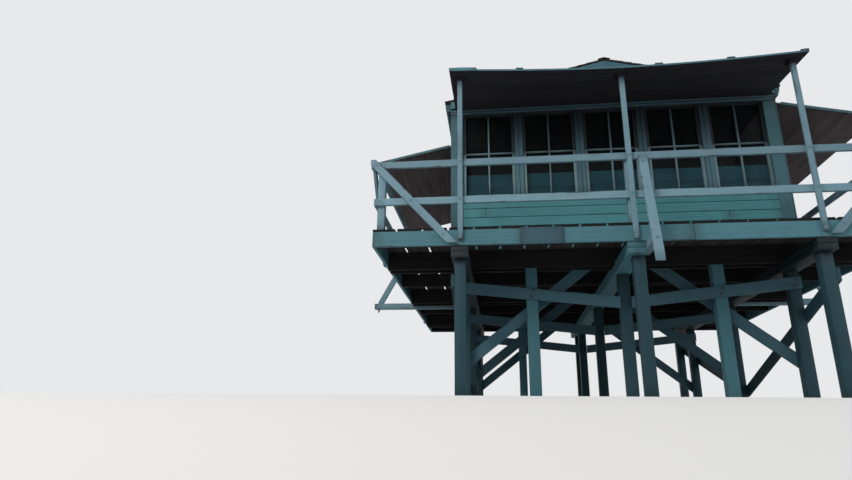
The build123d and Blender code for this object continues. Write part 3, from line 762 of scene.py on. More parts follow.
def plank(target, x_low, x_high, y_low, y_high, nail_rows):
    """One deck plank, with two nails in each row."""
    timber(target, (x_low, y_low, fascia_top), (x_high, y_high, deck_top), "y")
    for y in nail_rows:
        for x in (x_low + 0.04, x_high - 0.04):
            place = Vector((x + rng.uniform(-0.006, 0.006), y + rng.uniform(-0.008, 0.008), deck_top))
            drive(nails, nail_head, [place], (0, 0, 1))


side_edges = [-deck_x]
for width in (0.264, plank_width, plank_width):
    side_edges.append(side_edges[-1] + width + plank_gap)
for name, side in (("left_deck", 1), ("right_deck", -1)):
    bm = bmesh.new()
    for start, end in zip(side_edges[:-1], side_edges[1:]):
        low, high = sorted((side * start, side * (end - plank_gap)))
        joint = rng.choice((-0.9, 0.35, 1.1))
        plank(bm, low, high, -deck_y, joint - tight_gap, [y for y in joist_lines if y < joint])
        plank(bm, low, high, joint + tight_gap, deck_y, [y for y in joist_lines if y > joint])
    finished(bm, name, [plank_wood], [name])

# %% [markdown]
# In front of the cab and behind it the planks are as long as the catwalk is deep. Inside, the same
# boards lie close together as a floor. One loop makes all three, with its own gap for each.

# %% Planks in front of the cab, behind it and inside
for name, low, high, rows, gap in (
        ("front_deck", -deck_y, -cab_half, [-end_joist_y], plank_gap),
        ("back_deck", cab_half, deck_y, [end_joist_y], plank_gap),
        ("cab_floor", -cab_half, cab_half, [], tight_gap)):
    first = side_edges[-1] - (plank_gap - gap) / 2
    plank_count = round((-2 * first + gap) / (plank_width + plank_gap))
    cross_pitch = (-2 * first + gap) / plank_count
    bm = bmesh.new()
    for number in range(plank_count):
        start = first + number * cross_pitch
        plank(bm, start, start + cross_pitch - gap, low, high, rows)
    finished(bm, name, [plank_wood], [name])

# %% [markdown]
# ## Rim boards
# The rim board of each side is wide and painted. No board is long enough for a whole side, so two are
# joined end to end, where a fine dark line shows between two rows of nails.

# %% Fascias
nail_rows = [deck_bottom + up for up in (0.035, 0.092, 0.150)]
half_joint = 0.0015
bm = bmesh.new()
for sign, joint in ((-1, 0.62), (1, -0.5)):
    near, far = layer(sign, deck_y)
    for low, high in ((-deck_x, joint - half_joint), (joint + half_joint, deck_x)):
        timber(bm, (low, near, deck_bottom), (high, far, fascia_top), "x", wobble=0.002)
    spots = (-deck_x + 0.02, -leg_spacing, -1.1, 0.0, joint - 0.03,
             joint + 0.03, 1.3, leg_spacing, deck_x - 0.02)
    drive(nails, nail_head, [(x, sign * deck_y, z) for x in spots for z in nail_rows], (0, sign, 0))
finished(bm, "end_fascias", [fascia_paint], ["end_fascias"])

bm = bmesh.new()
for sign, joint in ((-1, -0.4), (1, 0.7)):
    near, far = layer(sign, deck_x)
    for low, high in ((-inside_y, joint - half_joint), (joint + half_joint, inside_y)):
        timber(bm, (near, low, deck_bottom), (far, high, fascia_top), "y", wobble=0.002)
    spots = (-inside_y + 0.03, -2.2, -1.1, joint - 0.03, joint + 0.03, 1.2, 2.2, inside_y - 0.03)
    drive(nails, nail_head, [(sign * deck_x, y, z) for y in spots for z in nail_rows], (sign, 0, 0))
finished(bm, "side_fascias", [fascia_paint], ["side_fascias"])
finished(nails, "deck_nails", [iron])

# %% [markdown]
# ## Railing
# Square posts stand inside the rim, two rails run outside them, and a diagonal board stiffens each
# side of a corner. Rails meet posts with two bolts each, one a little higher than the other.

# %% Posts
post_size, rail_height = 0.089, 0.089
rail_bottoms = (deck_bottom + 0.514, deck_bottom + 0.991)
post_top = rail_bottoms[1] + rail_height
half_post = post_size / 2
post_x, post_y = inside_x - half_post, inside_y - half_post
corner_places = [(sx * post_x, sy * post_y) for sx in (-1, 1) for sy in (-1, 1)]
bm = bmesh.new()
for x, y in corner_places + [(0, -post_y), (0, post_y), (-post_x, 0), (post_x, 0)]:
    timber(bm, (x - half_post, y - half_post, deck_top), (x + half_post, y + half_post, post_top), "z",
           edge=0.006, segments=2)
finished(bm, "rail_posts", [rail_paint], ["rail_posts"])

# %% Rails
bolt_up = 0.045
slant_pair = ((-0.018, 0.02), (0.018, -0.02))
rail_overhang = 0.050
bolts = bmesh.new()
bm = bmesh.new()
for sign in (-1, 1):
    near, far = layer(sign, deck_y)
    for bottom, reach in zip(rail_bottoms, (0, rail_overhang)):
        timber(bm, (-deck_x - reach, near, bottom), (deck_x + reach, far, bottom + rail_height), "x",
               edge=0.005, wobble=0.0025)
        drive(bolts, bolt_head, [(x + dx, sign * deck_y, bottom + bolt_up + dz)
                                 for x in (-post_x, 0.0, post_x) for dx, dz in slant_pair], (0, sign, 0))
finished(bm, "end_rails", [rail_paint], ["end_rails"])
bm = bmesh.new()
for sign in (-1, 1):
    near, far = layer(sign, deck_x)
    for bottom in rail_bottoms:
        timber(bm, (near, -inside_y, bottom), (far, inside_y, bottom + rail_height), "y",
               edge=0.005, wobble=0.0025)
        drive(bolts, bolt_head, [(sign * deck_x, y + dy, bottom + bolt_up + dz)
                                 for y in (-post_y, 0.0, post_y) for dy, dz in slant_pair], (sign, 0, 0))
finished(bm, "side_rails", [rail_paint], ["side_rails"])

# %% Braces of the railing
brace_head, brace_foot = deck_bottom + 1.098, deck_bottom + 0.025
rail_brace_reach = 0.930
rail_brace = {"width": 0.090, "thickness": thin_board, "end_cut": (0, 0, 1), "edge": 0.005, "wobble": 0.002}
bm = bmesh.new()
for side in (-1, 1):
    for end in (-1, 1):
        y = end * (deck_y + thin_board / 2)
        rail_end = side * (deck_x + rail_overhang)
        slanting(bm, (rail_end, y, brace_head), (side * (deck_x - rail_brace_reach), y, brace_foot),
                 flat_to=(0, end, 0), trims=[((rail_end, 0, 0), (side, 0, 0))], **rail_brace)
        y = end * (deck_y + thin_board)
        drive(bolts, bolt_head, [(side * (deck_x - dx), y, deck_bottom + dz)
                                 for dx, dz in ((0.012, 1.030), (0.445, 0.555), (0.835, 0.125))], (0, end, 0))
        x = side * (deck_x + thin_board / 2)
        slanting(bm, (x, end * deck_y, brace_head), (x, end * (deck_y - rail_brace_reach), brace_foot),
                 flat_to=(side, 0, 0), trims=[((0, end * inside_y, 0), (0, end, 0))], **rail_brace)
        x = side * (deck_x + thin_board)
        drive(bolts, bolt_head, [(x, end * (deck_y - dy), deck_bottom + dz)
                                 for dy, dz in ((0.067, 1.020), (0.478, 0.544), (0.840, 0.124))],
              (side, 0, 0))
finished(bm, "rail_braces", [rail_paint], ["rail_braces"])

# %% [markdown]
# ### Outriggers
# In the middle of each side a squared arm reaches out from under the deck, and a board leans from it
# to the railing, to keep the rail from giving way. The board's foot is let into the end of the arm at
# the front and back, so that arm's end is cut to the board's slope.

# %% Outrigger arms
arm_near, arm_size = leg_face + thin_board, 0.090
side_reach, end_reach = 0.610, 0.300
end_tip_z = deck_bottom - 0.274
end_rise = rail_bottoms[1] - end_tip_z
bm = bmesh.new()
for side in (-1, 1):
    low, high = sorted((side * (deck_x + side_reach), side * (leg_spacing + girder_half)))
    timber(bm, (low, arm_near, deck_bottom - arm_size), (high, arm_near + arm_size, deck_bottom), "x",
           edge=0.006, segments=2, wobble=0.002)
for end in (-1, 1):
    tip_y = end * (deck_y + end_reach)
    low, high = sorted((tip_y, end * (rim_leg_y - leg_size)))
    off_brace = Vector((0, end * end_rise, end_reach)).normalized()
    cut_point = Vector((0, tip_y, end_tip_z)) - off_brace * thin_board / 2
    middle = (girder_half + arm_size / 2, (low + high) / 2, deck_bottom - arm_size / 2)
    board(bm, (high - low, arm_size, arm_size), Matrix.Translation(middle) @ turned["y"],
          edge=0.006, segments=2, cuts=[(cut_point, off_brace)])
finished(bm, "outrigger_arms", [rail_paint], ["outrigger_arms"])

# %% Outrigger braces
side_brace_y = arm_near + arm_size + thin_board / 2
side_brace_reach = 0.5655
end_brace_x, end_brace_width = girder_half + 0.050, 0.100
bm = bmesh.new()
for side in (-1, 1):
    slanting(bm, (side * (deck_x + side_brace_reach), side_brace_y, deck_bottom - arm_size / 2),
             (side * deck_x, side_brace_y, rail_bottoms[1]),
             rail_height, thin_board, (0, 1, 0), end_cut=(1, 0, 0), edge=0.005)
    foot_bolt = (side * (deck_x + 0.555), side_brace_y + thin_board / 2, deck_bottom - 0.035)
    drive(bolts, bolt_head, [foot_bolt], (0, 1, 0))
    slanting(bm, (end_brace_x, side * (deck_y + end_reach), end_tip_z),
             (end_brace_x, side * deck_y, rail_bottoms[1]),
             thin_board, end_brace_width, (1, 0, 0), end_cut=(0, 1, 0), edge=0.005)
    for down in (0.035, end_rise - 0.232):
        y = side * (deck_y + 0.022 + end_reach * down / end_rise)
        drive(bolts, bolt_head, [(end_brace_x, y, rail_bottoms[1] - down)], (0, side, 0.23))
finished(bm, "outrigger_braces", [rail_paint], ["outrigger_braces"])
finished(bolts, "rail_bolts", [painted_iron])

# %% [markdown]
# ## The cab's walls
# Lap siding is a row of tapered boards, each one's foot over the head of the one below. Each course
# is a thin board, leaned out by its lap, and long courses have a butt joint at a different place.

# %% Lap siding
sides = [Matrix.Rotation(math.radians(90 * side), 4, "Z") for side in range(4)]
outward = [turn.to_3x3() @ Vector((0, -1, 0)) for turn in sides]
corner_inner = cab_half - 0.168
siding_bottom = deck_bottom + 0.277
sill_top = deck_bottom + 0.945
wall_top = sill_top - 0.045
exposure = 0.125
mullion_width, bays = 0.110, 5
pitch = (2 * corner_inner + mullion_width) / bays
door_low = corner_inner - pitch + 0.080
wall_ends = (corner_inner, corner_inner, corner_inner, door_low)
nails = bmesh.new()


def lapped_wall(target, side, low, high, joints):
    """Courses of lapped boards between two upright edges of a wall, as seen from outside."""
    turn = sides[side]
    lean = Matrix.Rotation(math.radians(90) - math.atan2(0.009, exposure), 4, "X")
    foot, number = siding_bottom, 0
    while foot < wall_top - 0.001:
        height = min(foot + exposure, wall_top) - foot + 0.018
        ends = [low, joints[number % len(joints)], high]
        for start, end in zip(ends[:-1], ends[1:]):
            middle = Vector(((start + end) / 2, -cab_half + 0.0080, foot + height / 2))
            board(target, (end - start - 0.002, height, 0.013), turn @ Matrix.Translation(middle) @ lean,
                  edge=0.0025, wobble=0.0012)
            gaps = max(round((end - start) / 0.42), 1)
            spots = [start + 0.02 + k * (end - start - 0.04) / gaps for k in range(gaps + 1)]
            drive(nails, nail_head, [turn @ Vector((x, -cab_half + 0.0005, foot + 0.022)) for x in spots],
                  outward[side])
        foot += exposure
        number += 1


bm = bmesh.new()
front_joints = (0.90, -0.60, 1.35, -1.676, 0.40)
for side, high in enumerate(wall_ends):
    joints = front_joints if side == 0 else [j * (-1) ** side * 0.7 for j in front_joints]
    timber(bm, (-corner_inner, -cab_half + 0.004, deck_top),
           (high, -cab_half + 0.023, siding_bottom + 0.006), "x", turn=sides[side], edge=0.003)
    lapped_wall(bm, side, -corner_inner, high, joints)
finished(bm, "lap_siding", [siding_paint], ["lap_siding"])

# %% [markdown]
# Behind the siding and its base board the wall is a rough dark boarding, which is seen from inside.
# The corner posts are boxed in by two boards, and each sill leans outward to shed the rain.

# %% Wall boarding
wall_depth = 0.114
courses = 6
course = (wall_top - deck_top) / courses
for name, turn, high in zip(("front_wall", "right_wall", "back_wall", "left_wall"), sides, wall_ends):
    bm = bmesh.new()
    for number in range(courses):
        low_z = deck_top + number * course
        timber(bm, (-corner_inner, -cab_half + 0.024, low_z + 0.001),
               (high, -cab_half + wall_depth, low_z + course - 0.001), "x",
               turn=turn, edge=0.003, wobble=0.001)
    finished(bm, name, [frame_wood], [name])

# %% Corner posts and sills
head = deck_bottom + 2.170
outer, behind, inner = -cab_half, -cab_half + 0.019, -corner_inner
bm = bmesh.new()
for turn, out in zip(sides, outward):
    timber(bm, (behind, behind, deck_top), (inner - 0.001, inner - 0.001, head), "z", turn=turn, wobble=0)
    timber(bm, (outer, outer, deck_top), (inner, behind, head), "z", turn=turn, edge=0.003)
    timber(bm, (outer, behind + 0.0005, deck_top), (behind, inner, head), "z", turn=turn, edge=0.003)
    for z in (0.1, 0.45, 0.8, 1.15, 1.5, 1.85):
        drive(nails, nail_head, [turn @ Vector((x, outer, deck_top + z))
                                 for x in (outer + 0.02, inner - 0.03)], out)
finished(bm, "corner_posts", [trim_paint], ["corner_posts"])
finished(nails, "wall_nails", [iron])

bm = bmesh.new()
sill_lean = Matrix.Rotation(math.radians(-6), 4, "X")
for turn, high in zip(sides, wall_ends):
    middle = Matrix.Translation(((high - corner_inner) / 2, -cab_half + 0.002, sill_top - 0.020))
    board(bm, (high + corner_inner, 0.068, 0.034), turn @ middle @ sill_lean, edge=0.006, segments=2)
    timber(bm, (-corner_inner, -cab_half + 0.030, wall_top), (high, -cab_half + wall_depth, sill_top), "x",
           turn=turn, wobble=0)
finished(bm, "window_sills", [trim_paint], ["window_sills"])

# %% [markdown]
# ## Windows
# Between the units stand mullions, each a backing board under two flat boards with a dark joint
# between them, which gives the mullions their light and dark lines. A sash is a frame of stiles
# and rails whose inner edges are bevelled, with a cross of thin bars standing in the opening. Shade is
# painted on: the upper sash's frame gets a dark copy of the paint, the lower frame and bars a pale one,
# and mullions and sashes darken towards the head.

# %% Mullions
unit_width = pitch - mullion_width
front = -cab_half + 0.010
bm = bmesh.new()
for side, turn in enumerate(sides):
    for number in range(1, bays):
        right_edge = corner_inner - number * pitch + mullion_width
        left_edge = right_edge - mullion_width
        if side == 3 and number == 1:
            right_edge = door_low
        middle = (left_edge + right_edge) / 2
        timber(bm, (left_edge + 0.001, front + 0.018, sill_top),
               (right_edge - 0.001, front + 0.085, head), "z", turn=turn, wobble=0.0008)
        for low, high in ((left_edge, middle - 0.002), (middle + 0.002, right_edge)):
            timber(bm, (low, front, sill_top), (high, front + 0.0185, head), "z",
                   turn=turn, edge=0.0035, wobble=0.0008)
# Painted shade: the mullions darken towards the head, as under the shutters.
mullion_paint = painted_finish("mullion_paint", (76, 110, 121), grime=0.85)
finished(bm, "mullions", [mullion_paint], ["mullions"])

# %% Sashes
# Painted shade: the upper sash's frame gets this dark copy of the sash paint, and the lower frame and the
# bars get the pale copy, bar_paint.
sash_paint = painted_finish("sash_paint", (44, 60, 67), grime=0.8)
bar_paint = painted_finish("bar_paint", (112, 138, 146), 0.68, grime=0.6)
near, far = -cab_half + 0.030, -cab_half + 0.066
stile, top_rail, half_bar = 0.040, 0.024, 0.011
cross = sill_top + 0.640
upper = (cross, head, head - top_rail, head)
lower = (sill_top, cross, sill_top, sill_top + stile)
for side, name in enumerate(("front_sashes", "right_sashes", "back_sashes", "left_sashes")):
    bm = bmesh.new()
    smooth = {"turn": sides[side], "wobble": 0}
    for number in range(1 if side == 3 else 0, bays):
        left = corner_inner - number * pitch - unit_width
        right_edge = left + unit_width
        clear_left, clear_right, middle = left + stile, right_edge - stile, (left + right_edge) / 2
        for low, high, rail_low, rail_high in (upper, lower):
            before = len(bm.faces)
            timber(bm, (left, near, low), (clear_left, far, high), "z", edge=0.005, **smooth)
            timber(bm, (clear_right, near, low), (right_edge, far, high), "z", edge=0.005, **smooth)
            timber(bm, (clear_left, near + 0.001, rail_low), (clear_right, far, rail_high), "x",
                   edge=0.005, **smooth)
        timber(bm, (middle - half_bar, near + 0.004, sill_top + stile),
               (middle + half_bar, far, head - top_rail), "z", edge=0.006, **smooth)
        timber(bm, (clear_left, near + 0.004, cross - half_bar), (clear_right, far, cross + half_bar), "x",
               edge=0.006, **smooth)
        paint_since(bm, before)
    finished(bm, name, [sash_paint, bar_paint], [name])

# %% [markdown]
# ## Glass
# The panes stay as the CAD made them: flat sheets behind the sashes. Their look is all in the
# material, clear and dark, with a little dust that dulls the gloss in patches.

# %% Glass
glass_nodes = ("window_glass", "door_glass")
n = Nodes("window_glass")
dust = n.clouds(n.place(), 2.2, 5.0, 0.6)
n.put(n.shader.inputs["Base Color"],
      n.mix(n.between(dust, 0.35, 0.75), tint(142, 154, 157), tint(160, 170, 171)))
n.put(n.shader.inputs["Roughness"], n.between(dust, 0.4, 0.8, 0.03, 0.16))
n.shader.inputs["Transmission Weight"].default_value = 0.985
n.shader.inputs["IOR"].default_value = 1.12
n.shader.inputs["Specular IOR Level"].default_value = 0.22
for node in glass_nodes:
    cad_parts[node].data.materials.clear()
    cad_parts[node].data.materials.append(n.material)
print("glass on", *glass_nodes)

# %% [markdown]
# ## Over the windows
# The header carries two thin trims, a casing right over the sashes and a drip board above it. Inside,
# a low painted board stands behind the front windows, and the boarded ceiling keeps the cab dark.

# %% Headers
plate_top = deck_bottom + 2.373
inner_half = cab_half - wall_depth
eave_reach = 0.076
roof_slope, eave_edge = 0.25, cab_half + eave_reach
eave_under = plate_top - roof_slope * eave_reach


def under_roof(x):
    """The height of the roof's underside at a distance from the middle."""
    return eave_under + roof_slope * (eave_edge - abs(x))


# Painted shade: the header and the casing over the sashes are nearly black, for the shade under the shutters;
# the head trim and the drip board keep the trim paint.
header_shade_paint = painted_finish("header_shade_paint", (44, 58, 64))
casing = (0.008, 0.0, 0.055, 0.002)
head_trim = (0.014, 0.014, 0.034, 0.003)
drip_board = (0.010, 0.055, 0.077, 0.003)
bm = bmesh.new()
for turn in (sides[0], sides[2]):
    timber(bm, (-cab_half, -cab_half, head), (cab_half, -inner_half, plate_top), "x", turn=turn)
    for out, low, high, edge in (casing, head_trim, drip_board):
        before = len(bm.faces)
        timber(bm, (-cab_half, -cab_half - out, head + low), (cab_half, -cab_half + 0.004, head + high), "x",
               turn=turn, edge=edge)
        paint_since(bm, before, int(low > 0))
finished(bm, "end_headers", [header_shade_paint, trim_paint], ["end_headers"])

bm = bmesh.new()
header_top = under_roof(inner_half)
for side in (-1, 1):
    low, high = layer(side, cab_half, wall_depth)
    size = (2 * inner_half, high - low, header_top - head)
    place = Matrix.Translation(((low + high) / 2, 0, (head + header_top) / 2)) @ turned["y"]
    slope_up = Vector((side * roof_slope, 0, 1)).normalized()
    board(bm, size, place, cuts=[(Vector((side * cab_half, 0, under_roof(cab_half))), slope_up)])
finished(bm, "side_headers", [header_shade_paint], ["side_headers"])

# %% Inner board and ceiling
inner_paint = painted_finish("inner_board", (108, 178, 196), 0.85, stain=0.0)
bm = bmesh.new()
back = -inner_half
board_joint, board_top = deck_bottom + 1.110, deck_bottom + 1.298
strip_left = -1.09
timber(bm, (-corner_inner, back - 0.019, sill_top), (corner_inner, back, board_joint), "x")
timber(bm, (-corner_inner, back - 0.019, board_joint + 0.001), (corner_inner, back, board_top), "x")
timber(bm, (strip_left, back - 0.030, board_joint - 0.016),
       (corner_inner, back - 0.018, board_joint - 0.002), "x", edge=0.002)
finished(bm, "front_inner_board", [inner_paint], ["front_inner_board"])

bm = bmesh.new()
ceiling_z = plate_top - 0.083
ceiling_boards = 24
board_pitch = 2 * inner_half / ceiling_boards
for number in range(ceiling_boards):
    low = -inner_half + number * board_pitch
    timber(bm, (-inner_half, low + 0.0005, ceiling_z),
           (inner_half, low + board_pitch - 0.0005, ceiling_z + 0.019), "x", edge=0.003, wobble=0)
finished(bm, "ceiling", [inside_wood], ["ceiling"])

# %% [markdown]
# ## The door
# The door fills the front bay of the left side. Its leaf is joined from stiles and rails, with a
# sunk panel below and four panes above. The knob is a turned profile, spun round its axis.

# %% Door frame
door_high = corner_inner
jamb = 0.032
threshold_top = deck_top + 0.024
clear_low, clear_high = door_low + jamb, door_high - jamb
plain = {"turn": sides[3], "wobble": 0}
bm = bmesh.new()
timber(bm, (door_low, front, deck_top), (clear_low, back, head), "z", **plain)
timber(bm, (clear_high, front, deck_top), (door_high, back, head), "z", **plain)
timber(bm, (clear_low, front, head - jamb), (clear_high, back, head), "x", **plain)
timber(bm, (clear_low, front, deck_top), (clear_high, back, threshold_top), "x", **plain)
finished(bm, "door_frame", [trim_paint], ["door_frame"])

# %% Door leaf
door_paint = painted_finish("door_paint", (96, 116, 118), stain=0.3)
leaf_low, leaf_high = door_low + 0.035, door_high - 0.035
leaf_bottom, leaf_top = threshold_top, head - 0.035
near, far = -cab_half + 0.040, -cab_half + 0.084
light_bottom = deck_bottom + 1.150
door_stile = 0.110
in_low, in_high = leaf_low + door_stile, leaf_high - door_stile
light_top = leaf_top - door_stile
bm = bmesh.new()
for low, high in ((leaf_low, in_low), (in_high, leaf_high)):
    timber(bm, (low, near, leaf_bottom), (high, far, leaf_top), "z", **plain)
for low, high in ((leaf_bottom, leaf_bottom + door_stile), (light_bottom - door_stile, light_bottom),
                  (light_top, leaf_top)):
    timber(bm, (in_low, near + 0.0005, low), (in_high, far, high), "x", **plain)
timber(bm, (in_low - 0.002, near + 0.012, leaf_bottom + door_stile - 0.002),
       (in_high + 0.002, far - 0.010, light_bottom - door_stile + 0.002), "z", **plain)
middle = (leaf_low + leaf_high) / 2
bar_z = (light_bottom + light_top) / 2
timber(bm, (middle - half_bar, near + 0.005, light_bottom), (middle + half_bar, far, light_top), "z", **plain)
timber(bm, (in_low, near + 0.005, bar_z - half_bar), (in_high, far, bar_z + half_bar), "x", **plain)
finished(bm, "door_leaf", [door_paint], ["door_leaf"])

# %% Knob and hinges
brass = iron_finish("door_iron", tint(96, 86, 66), tint(70, 60, 50), 0.75)
bm = bmesh.new()
knob_profile = [(0, 0.0), (0.026, 0.0), (0.026, 0.004), (0.010, 0.007), (0.009, 0.022),
                (0.020, 0.030), (0.026, 0.040), (0.022, 0.050), (0, 0.055)]
verts = [bm.verts.new((radius, 0, height)) for radius, height in knob_profile]
edges = [bm.edges.new(pair) for pair in zip(verts[:-1], verts[1:])]
bmesh.ops.spin(bm, geom=verts + edges, cent=(0, 0, 0), axis=(0, 0, 1), angle=math.radians(360),
               steps=20, use_merge=True)
bmesh.ops.remove_doubles(bm, verts=bm.verts, dist=0.0002)
bmesh.ops.recalc_face_normals(bm, faces=bm.faces)
face_out = Matrix.Rotation(math.radians(90), 4, "X")
knob_place = Matrix.Translation((leaf_low + 0.055, near, deck_top + 0.95)) @ face_out
bmesh.ops.transform(bm, matrix=sides[3] @ knob_place, verts=bm.verts)
for z in (leaf_bottom + 0.2, (leaf_bottom + leaf_top) / 2, leaf_top - 0.2):
    pin = bmesh.new()
    pin_place = sides[3] @ Matrix.Translation((leaf_high + 0.0015, near - 0.004, z))
    bmesh.ops.create_cone(pin, cap_ends=True, segments=12, radius1=0.007, radius2=0.007, depth=0.09,
                          matrix=pin_place)
    join_into(bm, pin)
finished(bm, "door_fittings", [brass])

# %% [markdown]
# ## The roof
# Over the sheathing lie wooden shingles. Each is a thin wedge, thick at its foot, and every course
# covers more than half of the one below it, so the roof is two shingles deep everywhere. Widths vary
# and the joints are staggered.

# %% Sheathing and shingles
slope_angle = math.atan(roof_slope)
slope_length = eave_edge / math.cos(slope_angle)
roof_half = cab_half + 0.025
sheathing, sheathing_boards = 0.022, 12
shingle_length, course_step, shingle_thickness = 0.280, 0.127, 0.010
shingle_tilt = Matrix.Rotation(math.atan(0.013 / shingle_length), 4, "Y")
shingle_z = sheathing + 0.007


def wedge(target, length, width, place):
    """One shingle: a thin board, thick at its foot and thin at its head, along local X."""
    bm = bmesh.new()
    bmesh.ops.create_cube(bm, size=1.0)
    bmesh.ops.scale(bm, vec=(length, width, shingle_thickness), verts=bm.verts)
    head_verts = [vert for vert in bm.verts if vert.co.x > 0]
    bmesh.ops.scale(bm, vec=(1, 1, 0.35), verts=head_verts)
    bevel_sharp(bm, 0.0012)
    put_layers(bm, (length, width, shingle_thickness))
    bmesh.ops.transform(bm, matrix=place, verts=bm.verts)
    join_into(target, bm)


for name, side in (("left_roof", -1), ("right_roof", 1)):
    bm = bmesh.new()
    up_slope = Vector((-side * math.cos(slope_angle), 0, math.sin(slope_angle)))
    off_roof = Vector((side * math.sin(slope_angle), 0, math.cos(slope_angle)))
    along_eave = off_roof.cross(up_slope)
    corner = Vector((side * eave_edge, 0, eave_under))
    slope_axes = Matrix((
        (up_slope.x, along_eave.x, off_roof.x, corner.x), (up_slope.y, along_eave.y, off_roof.y, corner.y),
        (up_slope.z, along_eave.z, off_roof.z, corner.z), (0, 0, 0, 1)))
    step = slope_length / sheathing_boards
    for number in range(sheathing_boards):
        timber(bm, (number * step, -roof_half, 0), ((number + 1) * step - 0.003, roof_half, sheathing), "y",
               turn=slope_axes, edge=0.002, wobble=0)
    start = -0.004
    while start < slope_length - 0.05:
        length = min(shingle_length, slope_length - start)
        across = -roof_half
        while across < roof_half - 0.001:
            width = min(rng.uniform(0.09, 0.20), roof_half - across)
            if roof_half - across - width < 0.05:
                width = roof_half - across
            slip = rng.uniform(0.0, 0.007)
            centre = (start + length / 2 + slip, across + width / 2, shingle_z + rng.uniform(0, 0.0012))
            wedge(bm, length, width - 0.004, slope_axes @ Matrix.Translation(centre) @ shingle_tilt)
            across += width
        start += course_step
    finished(bm, name, [shingle_wood], [name])

# %% [markdown]
# Along the ridge two boards lie over the last shingles, each leaned to its slope. Under the eaves
# three narrow boards step outward. Rake boards follow the slopes at both ends, over a gable that is
# built up in courses, each cut along both slopes.

# %% Ridge boards
bm = bmesh.new()
ridge_top = under_roof(0) + 0.045
for side in (-1, 1):
    lean = Matrix.Rotation(side * slope_angle, 4, "Y")
    for low, high in ((-roof_half, 0.3), (0.302, roof_half)):
        middle = Matrix.Translation((side * 0.040, (low + high) / 2, ridge_top - 0.0025))
        board(bm, (high - low, 0.084, 0.013), middle @ lean @ turned["y"], edge=0.003)
finished(bm, "ridge_cap", [shingle_wood], ["ridge_cap"])

# %% Eaves and gables
bm = bmesh.new()
eave_bottom = eave_under - 0.111
rake_drop, rake_thickness = 0.055, 0.025
for side in (-1, 1):
    for number, reach in enumerate((0.052, 0.064, eave_reach)):
        low, high = sorted((side * cab_half, side * (cab_half + reach)))
        bottom = eave_bottom + number * 0.037
        timber(bm, (low, -cab_half, bottom), (high, cab_half, bottom + 0.036), "y", wobble=0.001)
    for end in (-1, 1):
        y = end * (cab_half + rake_thickness / 2)
        slanting(bm, (side * cab_half, y, under_roof(cab_half) - rake_drop),
                 (0, y, under_roof(0) - rake_drop),
                 2 * rake_drop * math.cos(slope_angle), rake_thickness, (0, end, 0), end_cut=(1, 0, 0))
finished(bm, "roof_trim", [trim_paint], ["roof_trim"])

bm = bmesh.new()
gable_courses = 5
course = (under_roof(0) - plate_top) / gable_courses
gable_peak = Vector((0, 0, under_roof(0) - 0.0005))
gable_cuts = [(gable_peak, Vector((s * roof_slope, 0, 1)).normalized()) for s in (-1, 1)]
for end in (-1, 1):
    near, far = layer(end, cab_half, 0.092)
    for number in range(gable_courses):
        reach = cab_half * (1 - number / gable_courses)
        middle = (0, (near + far) / 2, plate_top + number * course + course / 2)
        board(bm, (2 * reach, far - near, course - 0.002), Matrix.Translation(middle),
              edge=0.003, wobble=0.001, cuts=gable_cuts)
finished(bm, "gables", [siding_paint], ["gables"])

# %% [markdown]
# ## Shutters
# Each shutter is a row of boards that run along the wall, held together by battens across their
# upper side. A frame of axes that leans with the shutter lets its boards be placed by plain lengths:
# X along the hinge, minus Y outward, Z above the underside. The front one hangs almost level, and
# its old boards sag: their edge has come down by up to 92 mm between the props.

# %% Shutter boards and battens
shutter_half = cab_half - 0.068
panel_thickness, batten_width, batten_thickness = 0.025, 0.089, 0.019
shutter_thickness = panel_thickness + batten_thickness
batten_count = 6
hardware = bmesh.new()


def strap_hinge(place):
    """A flat iron strap under a shutter, narrower towards its tip."""
    strap = bmesh.new()
    bmesh.ops.create_cube(strap, size=1.0)
    bmesh.ops.scale(strap, vec=(0.038, 0.30, 0.005), verts=strap.verts)
    tip = [vert for vert in strap.verts if vert.co.y < 0]
    bmesh.ops.scale(strap, vec=(0.45, 1, 1), verts=tip)
    bevel_sharp(strap, 0.0012)
    bmesh.ops.transform(strap, matrix=place, verts=strap.verts)
    join_into(hardware, strap)


def shutter(side, hinge_z, drop, length, low, high, count):
    """A shutter on a wall, from low to high along it: its mesh, bare underneath, and its axes."""
    bm = bmesh.new()
    lean = sides[side] @ Matrix.Translation((0, -cab_half, hinge_z)) @ Matrix.Rotation(drop, 4, "X")
    above = lean.to_3x3() @ Vector((0, 0, 1))
    step = length / count
    for number in range(count):
        near = number * step - (0.002 if number else -0.003)
        timber(bm, (low, -(number + 1) * step, 0.0), (high, -near, panel_thickness), "x",
               turn=lean, edge=0.003, wobble=0.0012)
    batten_step = (high - low - batten_width) / (batten_count - 1)
    for number in range(batten_count):
        at_x = low + number * batten_step
        timber(bm, (at_x, -length, panel_thickness),
               (at_x + batten_width, -batten_width, shutter_thickness), "y",
               turn=lean, edge=0.003, wobble=0.0012)
        for row in range(count):
            out = (row + 0.5) * step
            if out > batten_width + 0.02:
                drive(hardware, nail_head, [lean @ Vector((at_x + dx, -out, shutter_thickness))
                                            for dx in (0.025, 0.064)], above)
            drive(hardware, nail_head, [lean @ Vector((at_x + dx, -out + 0.02, 0))
                                        for dx in (0.03, 0.06)], -above)
        if number in (1, batten_count - 2):
            strap_hinge(lean @ Matrix.Translation((at_x + batten_width / 2, -0.158, -0.002)))
    bm.normal_update()
    for face in bm.faces:
        face.material_index = int(face.normal.dot(above) > -0.5)
    return bm, lean


# %% End shutters
end_hinge_z, end_drop, end_length = head + 0.080, math.radians(4.2), 1.090
cleat_half, cleat_half_length = 0.045, 0.059
cleat_y = deck_y + thin_board / 2


def end_under(distance):
    """The height of an end shutter's underside at a distance from the cab's middle."""
    return end_hinge_z - (distance - cab_half) * math.tan(end_drop)


prop_top = end_under(deck_y) - 0.046
prop_places = (-deck_x + 1.029, 0.0, deck_x - 1.029)
sag_depth, sag_run = 0.092, 4.2


